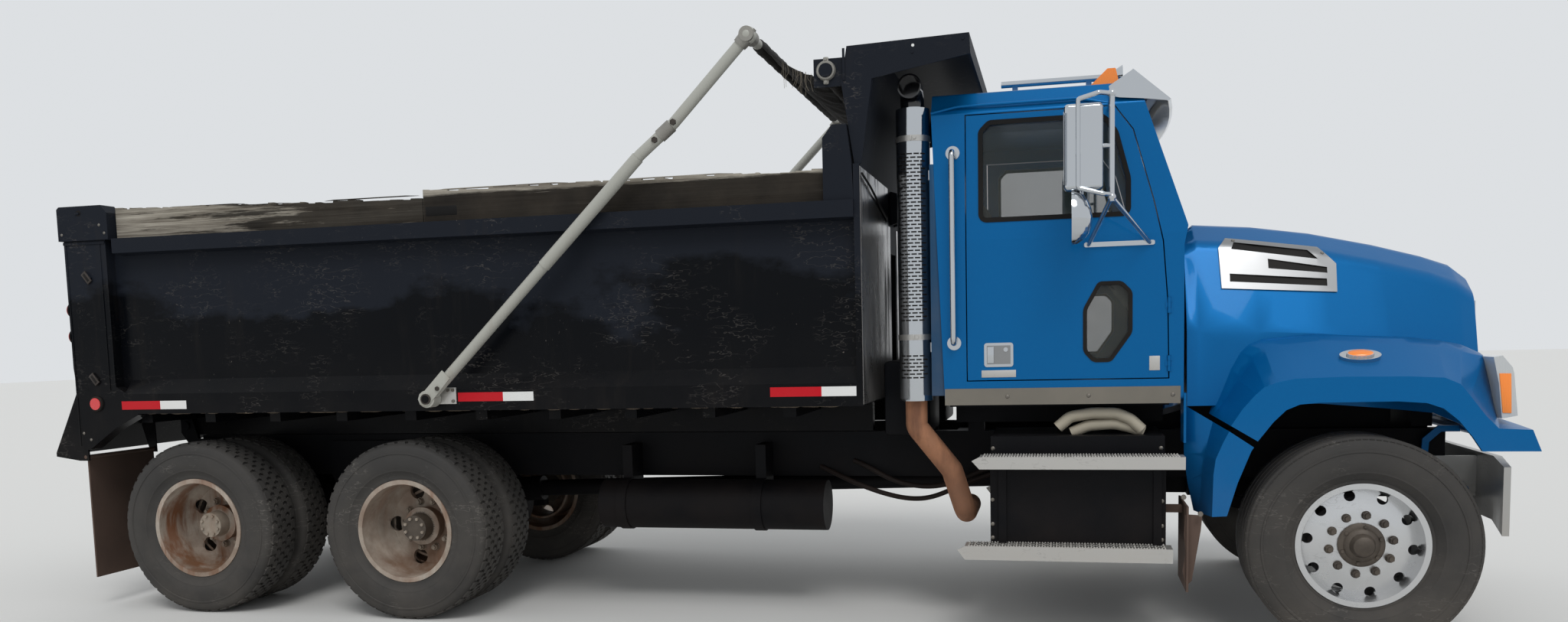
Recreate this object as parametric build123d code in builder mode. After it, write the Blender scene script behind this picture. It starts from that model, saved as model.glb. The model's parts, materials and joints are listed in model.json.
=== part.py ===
from build123d import *
import os
from math import atan2, cos, degrees, hypot, radians, sin

os.makedirs("parts", exist_ok=True)

# A conventional-cab dump truck with a tandem rear axle and a steel dump bed.
# Millimetres. +X forward, +Y to the truck's left, +Z up. The origin is on the ground,
# under the middle of the truck. Heights are above the ground.

# Axles and wheels
front_axle_x = 3362.0
wheelbase = 5757.0
tandem_spacing = 1391.0
front_tyre_radius = 523.0
rear_tyre_radius = 519.5
front_wheel_y = 1035.0
dual_outer_y = 1080.0
dual_spacing = 336.0
front_tyre_width = 385.0
rear_tyre_width = 279.0
rim_seat_radius = 285.75
rim_flange_radius = 298.5
front_rim_width = 298.0
rear_rim_width = 210.0
kingpin_y = 860.0
tandem_x = front_axle_x - wheelbase
drive_axle_xs = (tandem_x + tandem_spacing / 2, tandem_x - tandem_spacing / 2)

# Clearances: a seat between pieces that touch, a running fit and room for a moving panel
seat_gap = 0.3
running_gap = 0.3
panel_gap = 6.0

# Frame
rail_top = 1020.0
rail_height = 262.0
rail_outer_y = 435.0
rail_flange = 80.0
rail_wall = 9.0
rail_front_x = front_axle_x + 560.0
rail_rear_x = front_axle_x - 7000.0
rail_bottom = rail_top - rail_height

# Cab
cab_half_width = 1000.0
cab_wall = 50.0
cab_back_x = front_axle_x - 1973.0
cab_front_x = front_axle_x - 790.0
cab_floor_z = 1215.0
cab_roof_z = 2862.0
cab_corner = 25.0

# Bed
bed_half_width = 1220.0
bed_wall = 90.0
bed_floor_top = 1265.0
bed_floor_thickness = 50.0
bed_front_x = front_axle_x - 2405.0
bed_rear_x = front_axle_x - 7240.0
bed_rail_top = 2265.0
bed_hinge_x = front_axle_x - 7085.0
bed_hinge_z = 1085.0
sill_bottom = rail_top + 5.0
sill_outer_y = 450.0
hoist_x = front_axle_x - 2205.0
hoist_base_z = 820.0
hoist_base_radius = 30.0
hoist_top_z = 2330.0
hoist_pin_radius = 25.0
hoist_cheek_y = 62.0
sill_width = 70.0


def ahead(points):
    """Points given as (distance ahead of the front axle, height) in the truck's frame."""
    return [(front_axle_x + distance, height) for distance, height in points]


def span(side, inner, outer):
    """The two y values of a piece between two distances from the middle, low one first."""
    return min(side * inner, side * outer), max(side * inner, side * outer)


def drawn_in(points, amount):
    """An outline with every edge moved inwards by an amount, keeping its corners square."""
    area = sum(x0 * y1 - x1 * y0 for (x0, y0), (x1, y1) in zip(points, points[1:] + points[:1]))
    turn = 1 if area > 0 else -1
    moved = []
    for before, corner, after in zip(points[-1:] + points[:-1], points, points[1:] + points[:1]):
        normals = []
        for (x0, y0), (x1, y1) in ((before, corner), (corner, after)):
            length = hypot(x1 - x0, y1 - y0)
            normals.append((-turn * (y1 - y0) / length, turn * (x1 - x0) / length))
        (ax, ay), (bx, by) = normals
        reach = amount / (1 + ax * bx + ay * by)
        moved.append((corner[0] + reach * (ax + bx), corner[1] + reach * (ay + by)))
    return moved


def side_plate(points, y_low, y_high, mode=Mode.ADD):
    """A plate whose outline is seen from the side, between two y values."""
    with BuildSketch(Plane.XZ.offset(-y_high)) as outline:
        with BuildLine():
            Polyline(*points, close=True)
        make_face()
    extrude(outline.sketch, amount=y_high - y_low, mode=mode)


def round_side_plate(points, radius, y_low, y_high, mode=Mode.ADD):
    """A side plate whose corners are rounded."""
    with BuildSketch(Plane.XZ.offset(-y_high)) as outline:
        with BuildLine():
            FilletPolyline(*points, radius=radius, close=True)
        make_face()
    extrude(outline.sketch, amount=y_high - y_low, mode=mode)


def cross_plate(points, x_low, x_high, mode=Mode.ADD):
    """A plate whose outline is seen from the front, between two x values."""
    with BuildSketch(Plane.YZ.offset(x_low)) as outline:
        with BuildLine():
            Polyline(*points, close=True)
        make_face()
    extrude(outline.sketch, amount=x_high - x_low, mode=mode)


def level_plate(points, z_low, z_high, mode=Mode.ADD):
    """A plate whose outline is seen from above, between two heights."""
    with BuildSketch(Plane.XY.offset(z_low)) as outline:
        with BuildLine():
            Polyline(*points, close=True)
        make_face()
    extrude(outline.sketch, amount=z_high - z_low, mode=mode)


def block(x_low, x_high, y_low, y_high, z_low, z_high, mode=Mode.ADD):
    """A square-edged block between its lowest and highest corners."""
    with Locations(((x_low + x_high) / 2, (y_low + y_high) / 2, (z_low + z_high) / 2)):
        Box(x_high - x_low, y_high - y_low, z_high - z_low, mode=mode)


def bar(start, end, radius, mode=Mode.ADD):
    """A round bar, or a hole, from one point to another."""
    axis = Vector(*end) - Vector(*start)
    with BuildSketch(Plane(origin=start, z_dir=axis)) as disc:
        Circle(radius)
    extrude(disc.sketch, amount=axis.length, mode=mode)


def pipe(points, radius, bend, mode=Mode.ADD):
    """A round tube's outside along straight runs joined by bends of one radius."""
    with BuildLine() as path:
        FilletPolyline(*points, radius=bend)
    with BuildSketch(Plane(origin=path.line @ 0, z_dir=path.line % 0)) as disc:
        Circle(radius)
    sweep(disc.sketch, path=path.line, mode=mode)


def side_loft(sections, mode=Mode.ADD):
    """A solid through outlines seen from the side: each section is a y value and its points."""
    with BuildPart(mode=Mode.PRIVATE) as form:
        for y, points in sections:
            with BuildSketch(Plane.XZ.offset(-y)):
                with BuildLine():
                    Polyline(*points, close=True)
                make_face()
        loft(ruled=True)
    add(form.part, mode=mode)


def spin(points, x, z, side, y_centre, mode=Mode.ADD):
    """A turned piece on a crosswise axis: points are (radius, distance outward)."""
    with BuildSketch(Plane(origin=(x, side * y_centre, z))) as half:
        with BuildLine():
            Polyline(*[(radius, side * out) for radius, out in points], close=True)
        make_face()
    revolve(half.sketch, axis=Axis((x, side * y_centre, z), (0, 1, 0)), mode=mode)


sides = (("right", -1), ("left", 1))

# Chassis

with BuildPart() as frame_rails:
    for name, side in sides:
        web_inner = rail_outer_y - rail_wall
        block(rail_rear_x, rail_front_x, *span(side, web_inner, rail_outer_y), rail_bottom, rail_top)
        for flange_bottom in (rail_bottom, rail_top - rail_wall):
            flange_inner = rail_outer_y - rail_flange
            block(rail_rear_x, rail_front_x, *span(side, flange_inner, rail_outer_y),
                  flange_bottom, flange_bottom + rail_wall)
frame_rails.part.label = "frame_rails"
export_step(frame_rails.part, "parts/frame_rails.step")

# Crossmembers between the rails' webs: distance ahead of the front axle, length along X
crossmember_places = ((470.0, 90.0), (-1950.0, 120.0), (-3300.0, 120.0), (-4300.0, 120.0),
                      (-5757.0, 300.0), (-6940.0, 100.0))
crossmember_bottom = rail_bottom + 32.0
crossmember_top = rail_top - 40.0
hinge_pin_radius = 28.0
hinge_ear_inner = sill_outer_y + 5.0
hinge_ear_outer = hinge_ear_inner + 25.0
with BuildPart() as crossmembers:
    web_inner = rail_outer_y - rail_wall
    for distance, length in crossmember_places:
        middle = front_axle_x + distance
        block(middle - length / 2, middle + length / 2, -web_inner, web_inner,
              crossmember_bottom, crossmember_top)
    for name, side in sides:
        block(hoist_x - 60, hoist_x + 60, *span(side, 125, web_inner), 770, 870)
    bar((hoist_x, -160, hoist_base_z), (hoist_x, 160, hoist_base_z), hoist_base_radius)
    # The pin that the bed tips on, held by an ear outside each rail
    for name, side in sides:
        ear = ahead([(-6780, 800), (-6780, 1000), (-7000, 1000), (-7040, 1130), (-7130, 1130),
                     (-7130, 1040), (-7030, 900), (-6960, 800)])
        side_plate(ear, *span(side, hinge_ear_inner, hinge_ear_outer))
        block(front_axle_x - 6980, front_axle_x - 6790,
              *span(side, rail_outer_y, hinge_ear_inner), 820, 980)
    bar((bed_hinge_x, -hinge_ear_outer - 15, bed_hinge_z),
        (bed_hinge_x, hinge_ear_outer + 15, bed_hinge_z), hinge_pin_radius)
    # The cab's legs, and the beam and the pan under its floor
    for name, side in sides:
        for distance in (-1900, -1000):
            block(front_axle_x + distance, front_axle_x + distance + 90,
                  *span(side, rail_outer_y - rail_flange, rail_outer_y), rail_top, cab_floor_z)
        underside = (front_axle_x - 1960, front_axle_x - 850)
        block(*underside, *span(side, rail_outer_y - 15, rail_outer_y + 75), cab_floor_z - 140,
              cab_floor_z)
        block(*underside, *span(side, rail_outer_y + 75, cab_half_width - 110), cab_floor_z - 30,
              cab_floor_z)
crossmembers.part.label = "crossmembers"
export_step(crossmembers.part, "parts/crossmembers.step")

# Engine, gearbox and radiator: one plain block each, at their real places
engine_bottom = 640.0
gearbox_output_z = 700.0
with BuildPart() as engine:
    block(front_axle_x - 700, front_axle_x + 330, -300, 300, engine_bottom, 1560)
    side_plate(ahead([(-700, 640), (-700, 1120), (-900, 1060), (-1650, 900), (-1650, 640)]),
               -190, 190)
    bar((front_axle_x - 1650, 0, gearbox_output_z), (front_axle_x - 1720, 0, gearbox_output_z), 60)
    block(front_axle_x + 330, front_axle_x + 400, -60, 60, 1100, 1300)
    block(front_axle_x + 400, front_axle_x + 500, -340, 340, crossmember_top, rail_top + 10)
    block(front_axle_x + 400, front_axle_x + 500, -420, 420, rail_top + 10, 1730)
    for name, side in sides:
        block(front_axle_x - 300, front_axle_x - 200,
              *span(side, 300, rail_outer_y - rail_wall), 800, 900)
engine.part.label = "engine"
export_step(engine.part, "parts/engine.step")

# Front axle: a dropped beam with a bored boss at each end
boss_radius = 48.0
kingpin_radius = 22.0
boss_low = front_tyre_radius - 70.0
boss_high = front_tyre_radius + 70.0
beam_drop_z = 400.0
with BuildPart() as front_axle:
    beam = [(-kingpin_y, boss_high - 20), (-kingpin_y, boss_low + 20), (-700, beam_drop_z),
            (700, beam_drop_z), (kingpin_y, boss_low + 20), (kingpin_y, boss_high - 20),
            (700, beam_drop_z + 95), (-700, beam_drop_z + 95)]
    cross_plate(beam, front_axle_x - 50, front_axle_x + 50)
    for name, side in sides:
        bar((front_axle_x, side * kingpin_y, boss_low), (front_axle_x, side * kingpin_y, boss_high),
            boss_radius)
        bar((front_axle_x, side * kingpin_y, boss_low - 1),
            (front_axle_x, side * kingpin_y, boss_high + 1), kingpin_radius + running_gap,
            mode=Mode.SUBTRACT)
front_axle.part.label = "front_axle"
export_step(front_axle.part, "parts/front_axle.step")

# Drive axles: a tube with a differential bulge, and the shafts that drive them
axle_tube_radius = 65.0
spindle_radius = 45.0
spindle_end_y = 1060.0
axle_tube_end_y = 600.0
differential_radius = 225.0
with BuildPart() as drive_axles:
    for axle_x in drive_axle_xs:
        bar((axle_x, -axle_tube_end_y, rear_tyre_radius), (axle_x, axle_tube_end_y, rear_tyre_radius),
            axle_tube_radius)
        bar((axle_x, -spindle_end_y, rear_tyre_radius), (axle_x, spindle_end_y, rear_tyre_radius),
            spindle_radius)
        with Locations((axle_x, 0, rear_tyre_radius)):
            Sphere(differential_radius)
        bar((axle_x, 0, rear_tyre_radius + 80), (axle_x + 330, 0, rear_tyre_radius + 100), 80)
        for name, side in sides:
            chamber_y = side * 340
            bar((axle_x - 60, chamber_y, rear_tyre_radius + 110),
                (axle_x - 240, chamber_y, rear_tyre_radius + 130), 78)
            block(axle_x - 70, axle_x, chamber_y - 20, chamber_y + 20, rear_tyre_radius,
                  rear_tyre_radius + 130)
    bar((front_axle_x - 1723, 0, gearbox_output_z),
        (drive_axle_xs[0] + 330, 0, rear_tyre_radius + 100), 52)
    bar((drive_axle_xs[0], 0, rear_tyre_radius + 90),
        (drive_axle_xs[1] + 330, 0, rear_tyre_radius + 100), 45)
drive_axles.part.label = "drive_axles"
export_step(drive_axles.part, "parts/drive_axles.step")

# Suspension: leaf springs over the front axle, and a walking beam each side at the back
spring_y = (395.0, 475.0)
beam_y = (470.0, 545.0)
spring_seat_z = beam_drop_z + 95.0
with BuildPart() as suspension:
    for name, side in sides:
        leaf = ahead([(-620, 640), (-300, 545), (-90, spring_seat_z), (90, spring_seat_z),
                      (280, 545), (520, 640), (520, 690), (280, 620), (90, 575), (-90, 575),
                      (-300, 620), (-620, 690)])
        side_plate(leaf, *span(side, *spring_y))
        for leaf_reach, leaf_low in ((400, 26), (300, 52)):
            lower_leaf = ahead([(-leaf_reach, 640 - leaf_low), (-90, 578 - leaf_low),
                                (90, 578 - leaf_low), (leaf_reach, 640 - leaf_low),
                                (leaf_reach, 648 - leaf_low), (90, 596), (-90, 596),
                                (-leaf_reach, 648 - leaf_low)])
            side_plate(lower_leaf, *span(side, *spring_y))
        for distance in (-70, 46):
            block(front_axle_x + distance, front_axle_x + distance + 24,
                  *span(side, spring_y[0] - 12, spring_y[1] + 12), 560, 612)
        block(front_axle_x - 620, front_axle_x - 570, *span(side, *spring_y), 640, rail_bottom)
        block(front_axle_x + 455, front_axle_x + 505, *span(side, spring_y[0], 440), 640,
              rail_bottom)
        saddle_x = tandem_x
        reach = tandem_spacing / 2 + 104.5
        walking_beam = [(saddle_x - reach, 430), (saddle_x - reach, 610),
                        (saddle_x - reach + 200, 620), (saddle_x - 120, 520),
                        (saddle_x + 120, 520), (saddle_x + reach - 200, 620),
                        (saddle_x + reach, 610), (saddle_x + reach, 430),
                        (saddle_x + reach - 200, 420), (saddle_x + 120, 350),
                        (saddle_x - 120, 350), (saddle_x - reach + 200, 420)]
        side_plate(walking_beam, *span(side, *beam_y))
        saddle = [(saddle_x - 90, 430), (saddle_x - 260, 780), (saddle_x - 260, 980),
                  (saddle_x + 260, 980), (saddle_x + 260, 780), (saddle_x + 90, 430)]
        side_plate(saddle, *span(side, rail_outer_y, beam_y[0]))
        for axle_x in drive_axle_xs:
            bar((axle_x, -beam_y[1] - 5, rear_tyre_radius), (axle_x, beam_y[1] + 5, rear_tyre_radius),
                axle_tube_radius + seat_gap, mode=Mode.SUBTRACT)
suspension.part.label = "suspension"
export_step(suspension.part, "parts/suspension.step")

# Air tank on the right rail, behind the battery box
air_tank_radius = 145.0
air_tank_y = rail_outer_y + 40.0 + air_tank_radius
air_tank_z = 612.0
with BuildPart() as air_tank:
    bar((front_axle_x - 4040, -air_tank_y, air_tank_z), (front_axle_x - 2686, -air_tank_y, air_tank_z),
        air_tank_radius)
    for distance in (-3900, -3080):
        bar((front_axle_x + distance - 30, -air_tank_y, air_tank_z),
            (front_axle_x + distance + 30, -air_tank_y, air_tank_z), air_tank_radius + 8)
        block(front_axle_x + distance - 30, front_axle_x + distance + 30,
              -air_tank_y, -rail_outer_y, air_tank_z + 100, 960)
air_tank.part.label = "air_tank"
export_step(air_tank.part, "parts/air_tank.step")

# Fuel tank on the left, battery box on the right, with the steps that climb over them
tank_radius = 290.0
tank_z = 720.0
tank_y = rail_outer_y + 40.0 + tank_radius
box_rear_x = front_axle_x - 1741.0
box_front_x = front_axle_x - 880.0
with BuildPart() as fuel_tank:
    bar((box_rear_x, tank_y, tank_z), (box_front_x, tank_y, tank_z), tank_radius)
    for x in (front_axle_x - 1680, front_axle_x - 920):
        block(x - 40, x + 40, rail_outer_y, tank_y - 200, 780, 960)
        bar((x - 30, tank_y, tank_z), (x + 30, tank_y, tank_z), tank_radius + 5)
    bar((box_front_x - 330, tank_y + 60, tank_z + tank_radius - 30),
        (box_front_x - 330, tank_y + 60, tank_z + tank_radius + 25), 55)
fuel_tank.part.label = "fuel_tank"
export_step(fuel_tank.part, "parts/fuel_tank.step")

box_outer_y = 1100.0
with BuildPart() as battery_box:
    block(box_rear_x, box_front_x, -box_outer_y, -rail_outer_y, 491, 880)
    block(box_rear_x, box_front_x, -1020, -rail_outer_y, 880, 1037)
battery_box.part.label = "battery_box"
export_step(battery_box.part, "parts/battery_box.step")

# Steps: top, thickness, rear and front end ahead of the front axle
step_table = ((950.0, 62.0, -1788.0, -800.0), (495.0, 70.0, -1865.0, -856.0))
step_outer_y = 1225.0
with BuildPart() as steps:
    for name, side in sides:
        for top, thickness, rear, front in step_table:
            block(front_axle_x + rear, front_axle_x + front, *span(side, box_outer_y, step_outer_y),
                  top - thickness, top)
            tip = [(front_axle_x + rear, top - thickness), (front_axle_x + rear - 38, top - 20),
                   (front_axle_x + rear, top)]
            side_plate(tip, *span(side, step_outer_y - 6, step_outer_y))
        for distance in (-1700, -940):
            block(front_axle_x + distance, front_axle_x + distance + 40,
                  *span(side, box_outer_y, box_outer_y + 12), 425, 950)
    for distance in (-1700, -940):
        block(front_axle_x + distance, front_axle_x + distance + 40,
              tank_y + 150, box_outer_y, 930, 950)
        block(front_axle_x + distance, front_axle_x + distance + 40,
              tank_y + 100, box_outer_y, 425, 445)
    bar((box_rear_x - 100, tank_y, tank_z), (box_front_x + 100, tank_y, tank_z),
        tank_radius + 5 + seat_gap, mode=Mode.SUBTRACT)
steps.part.label = "steps"
export_step(steps.part, "parts/steps.step")

# Cab


def cab_form(inset):
    """The cab's closed outer form, drawn in on every side by the inset."""
    over = 200.0
    profile = ahead([(-1968, cab_floor_z - over), (-2035, cab_roof_z - 162),
                     (-2035, cab_roof_z + over), (-1100, cab_roof_z + over),
                     (-1060, cab_roof_z - 40), (-990, cab_roof_z - 124), (-772, 2080),
                     (-790, 1990), (-790, cab_floor_z - over)])
    half = cab_half_width
    section = [(-half, cab_floor_z), (-half, 2050), (-half + 35, cab_roof_z - 162),
               (-half + 110, cab_roof_z - 50), (-400, cab_roof_z), (400, cab_roof_z),
               (half - 110, cab_roof_z - 50), (half - 35, cab_roof_z - 162), (half, 2050),
               (half, cab_floor_z)]
    with BuildPart() as form:
        with BuildSketch(Plane.XZ.offset(-half)) as outline:
            with BuildLine():
                FilletPolyline(*drawn_in(profile, inset), radius=cab_corner, close=True)
            make_face()
        extrude(outline.sketch, amount=2 * half)
        with BuildSketch(Plane.YZ.offset(cab_back_x - 200)) as front_view:
            with BuildLine():
                FilletPolyline(*drawn_in(section, inset), radius=cab_corner, close=True)
            make_face()
        extrude(front_view.sketch, amount=2000, mode=Mode.INTERSECT)
    return form.part


cab_outside = cab_form(0)
cab_inside = cab_form(cab_wall)
glass_outside = cab_form(12)
glass_inside = cab_form(18)

door_top = cab_roof_z - 170.0
door_outline = ahead([(-1863, 1323), (-1863, door_top), (-1120, door_top), (-1098, door_top - 32),
                      (-1030, door_top - 125), (-932, 2212), (-887, 2009), (-864, 1705),
                      (-858, 1323)])
window_outline = ahead([(-1788, 2170), (-1763, 2145), (-1075, 2145), (-1050, 2170), (-1050, 2330),
                        (-1110, door_top - 132), (-1160, door_top - 62), (-1195, door_top - 42),
                        (-1738, door_top - 42), (-1788, door_top - 92)])
peep_outline = ahead([(-1271, 1470), (-1271, 1680), (-1200, 1812), (-1090, 1812), (-1042, 1760),
                      (-1042, 1560), (-1140, 1417), (-1225, 1417)])
screen_half_width = cab_half_width - 120.0
windscreen_outline = [(-screen_half_width, 2160), (-screen_half_width + 60, cab_roof_z - 172),
                      (screen_half_width - 60, cab_roof_z - 172), (screen_half_width, 2160)]
back_window_outline = [(-480, 2120), (-480, cab_roof_z - 262), (480, cab_roof_z - 262), (480, 2120)]

# Door hinges: an upright axis at the outer face, with three knuckles on a pin at each height
door_hinge_x = front_axle_x - 861.0
door_hinge_y = cab_half_width + 3.0
door_hinge_zs = (1400.0, 1690.0)
door_pin_radius = 4.0
knuckle_radius = 9.0
knuckle_height = 26.0


def upright_bar(x, y, z_low, z_high, radius, mode=Mode.ADD):
    """A round upright bar or hole between two heights."""
    bar((x, y, z_low), (x, y, z_high), radius, mode=mode)


def door_hinge_room(side):
    """Room around each hinge for its knuckles."""
    for z in door_hinge_zs:
        reach = 1.5 * knuckle_height + 1
        upright_bar(door_hinge_x, side * door_hinge_y, z - reach, z + reach, knuckle_radius + 1,
                    mode=Mode.SUBTRACT)


with BuildPart() as cab:
    add(cab_outside)
    add(cab_inside, mode=Mode.SUBTRACT)
    side_plate(door_outline, -cab_half_width - 10, cab_half_width + 10, mode=Mode.SUBTRACT)
    cross_plate(windscreen_outline, front_axle_x - 1080, front_axle_x - 600, mode=Mode.SUBTRACT)
    cross_plate(back_window_outline, front_axle_x - 2100, front_axle_x - 1900, mode=Mode.SUBTRACT)
    for name, side in sides:
        door_hinge_room(side)
        for z in door_hinge_zs:
            for ear_low in (z - 1.5 * knuckle_height, z + 0.5 * knuckle_height + 1):
                ear_high = ear_low + knuckle_height - 1
                upright_bar(door_hinge_x, side * door_hinge_y, ear_low, ear_high, knuckle_radius)
                block(door_hinge_x + 4, door_hinge_x + 16,
                      *span(side, cab_half_width - 15, cab_half_width + 4), ear_low, ear_high)
            upright_bar(door_hinge_x, side * door_hinge_y, z - 50, z + 50,
                        door_pin_radius + running_gap, mode=Mode.SUBTRACT)
cab.part.label = "cab"
export_step(cab.part, "parts/cab.step")

with BuildPart() as cab_panes:
    cross_plate(drawn_in(windscreen_outline, seat_gap), front_axle_x - 1080, front_axle_x - 600)
    cross_plate(drawn_in(back_window_outline, seat_gap), front_axle_x - 2100, front_axle_x - 1900)
with BuildPart() as cab_glass:
    add(glass_outside)
    add(glass_inside, mode=Mode.SUBTRACT)
    add(cab_panes.part, mode=Mode.INTERSECT)
cab_glass.part.label = "cab_glass"
export_step(cab_glass.part, "parts/cab_glass.step")

# Doors, with a window and a low view window, hinged at their front edge
mirror_arm_radius = 11.0
mirror_y = cab_half_width + 330.0
mirror_top = cab_roof_z - 167.0
for name, side in sides:
    with BuildPart() as door:
        add(cab_outside)
        add(cab_inside, mode=Mode.SUBTRACT)
        side_plate(drawn_in(door_outline, panel_gap), *span(side, 500, 1500), mode=Mode.INTERSECT)
        for outline in (window_outline, peep_outline):
            side_plate(outline, *span(side, cab_half_width - 300, cab_half_width + 100),
                       mode=Mode.SUBTRACT)
        door_hinge_room(side)
        for z in door_hinge_zs:
            half = 0.5 * knuckle_height
            upright_bar(door_hinge_x, side * door_hinge_y, z - half, z + half, knuckle_radius)
            block(door_hinge_x - 18, door_hinge_x - 6,
                  *span(side, cab_half_width - 15, cab_half_width + 4), z - half, z + half)
            upright_bar(door_hinge_x, side * door_hinge_y, z - 38, z + 38, door_pin_radius)
    door.part.label = f"door_{name}"
    export_step(door.part, f"parts/door_{name}.step")

    with BuildPart() as panes:
        for outline in (window_outline, peep_outline):
            side_plate(drawn_in(outline, seat_gap), *span(side, 500, 1500))
    with BuildPart() as door_glass:
        add(glass_outside)
        add(glass_inside, mode=Mode.SUBTRACT)
        add(panes.part, mode=Mode.INTERSECT)
    door_glass.part.label = f"door_glass_{name}"
    export_step(door_glass.part, f"parts/door_glass_{name}.step")

    with BuildPart() as mirror_head:
        block(front_axle_x - 1370, front_axle_x - 1190, *span(side, mirror_y - 55, mirror_y + 35),
              2235, mirror_top - 55)
        fillet(mirror_head.edges(), radius=22)
    with BuildPart() as round_mirror:
        dome = [(0, -130)]
        dome += [(98 * cos(radians(angle)), 130 * sin(radians(angle))) for angle in range(-72, 73, 18)]
        dome.append((0, 130))
        with BuildSketch(Plane(origin=(front_axle_x - 1335, side * mirror_y, 2110), x_dir=(1, 0, 0),
                               z_dir=(0, -1, 0))) as half_dome:
            with BuildLine():
                Polyline(*dome, close=True)
            make_face()
        revolve(half_dome.sketch, axis=Axis((front_axle_x - 1335, side * mirror_y, 2110), (0, 0, 1)))
        block(front_axle_x - 1500, front_axle_x - 1335, *span(side, mirror_y - 200, mirror_y + 200),
              1900, 2300, mode=Mode.SUBTRACT)
    with BuildPart() as mirror:
        plate = ahead([(-1271, 1995), (-1264, 1990), (-938, 1990), (-931, 1995), (-931, 2009),
                       (-938, 2014), (-1264, 2014), (-1271, 2009)])
        side_plate(plate, *span(side, cab_half_width, cab_half_width + 12))
        post_x = front_axle_x - 1150
        for foot in (front_axle_x - 1250, front_axle_x - 955):
            bar((foot, side * (cab_half_width + 6), 2002), (post_x, side * mirror_y, 2200),
                mirror_arm_radius)
        bar((post_x, side * mirror_y, 2180), (post_x, side * mirror_y, mirror_top),
            mirror_arm_radius + 2)
        with Locations((post_x, side * mirror_y, 2200), (post_x, side * mirror_y, mirror_top - 15)):
            Sphere(20)
        bar((post_x, side * mirror_y, mirror_top - 15),
            (post_x, side * (cab_half_width - 50), mirror_top - 25), mirror_arm_radius)
        add(mirror_head.part)
        add(round_mirror.part)
        # A bent tube around the head's outer side
        loop_y = side * (mirror_y + 48)
        pipe([(post_x, side * mirror_y, 2212), (post_x - 40, loop_y, 2212),
              (post_x - 155, loop_y, 2245), (post_x - 155, loop_y, mirror_top - 40),
              (post_x - 60, loop_y, mirror_top - 15), (post_x, side * mirror_y, mirror_top - 15)],
             mirror_arm_radius, 14)
        block(post_x - 168, post_x - 142, *span(side, mirror_y + 20, mirror_y + 52), 2400, 2470)
        bar((post_x, side * mirror_y, 2440), (front_axle_x - 1200, side * mirror_y, 2440),
            mirror_arm_radius)
        bar((front_axle_x - 1290, side * mirror_y, 2180), (front_axle_x - 1290, side * mirror_y, 2260),
            mirror_arm_radius)
        add(cab_outside, mode=Mode.SUBTRACT)
    mirror.part.label = f"mirror_{name}"
    export_step(mirror.part, f"parts/mirror_{name}.step")

# What shows through the glass: two seats, the dashboard and the steering wheel
inside_floor = cab_floor_z + cab_wall
with BuildPart() as seats:
    for name, side in sides:
        y_low, y_high = span(side, 210, 730)
        block(front_axle_x - 1780, front_axle_x - 1330, y_low + 60, y_high - 60, inside_floor, 1530)
        round_side_plate(ahead([(-1800, 1530), (-1290, 1530), (-1280, 1670), (-1720, 1650)]), 20,
                         y_low, y_high)
        round_side_plate(ahead([(-1720, 1640), (-1850, 2260), (-1780, 2290), (-1600, 1660)]), 20,
                         y_low + 20, y_high - 20)
seats.part.label = "seats"
export_step(seats.part, "parts/seats.step")

steering_y = 470.0
with BuildPart() as dashboard:
    dash = ahead([(-840, inside_floor), (-840, 2040), (-900, 2060), (-1060, 2000), (-1080, 1850),
                  (-960, 1700), (-910, inside_floor)])
    side_plate(dash, -cab_half_width + 100, cab_half_width - 100)
    column_foot = (front_axle_x - 960, steering_y, 1780)
    column_top = (front_axle_x - 1190, steering_y, 1960)
    bar(column_foot, column_top, 30)
    lean = Plane(origin=column_top, z_dir=Vector(*column_top) - Vector(*column_foot))
    with BuildSketch(lean) as ring:
        Circle(235)
        Circle(205, mode=Mode.SUBTRACT)
        Rectangle(430, 40)
    extrude(ring.sketch, amount=28)
dashboard.part.label = "dashboard"
export_step(dashboard.part, "parts/dashboard.step")

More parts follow.
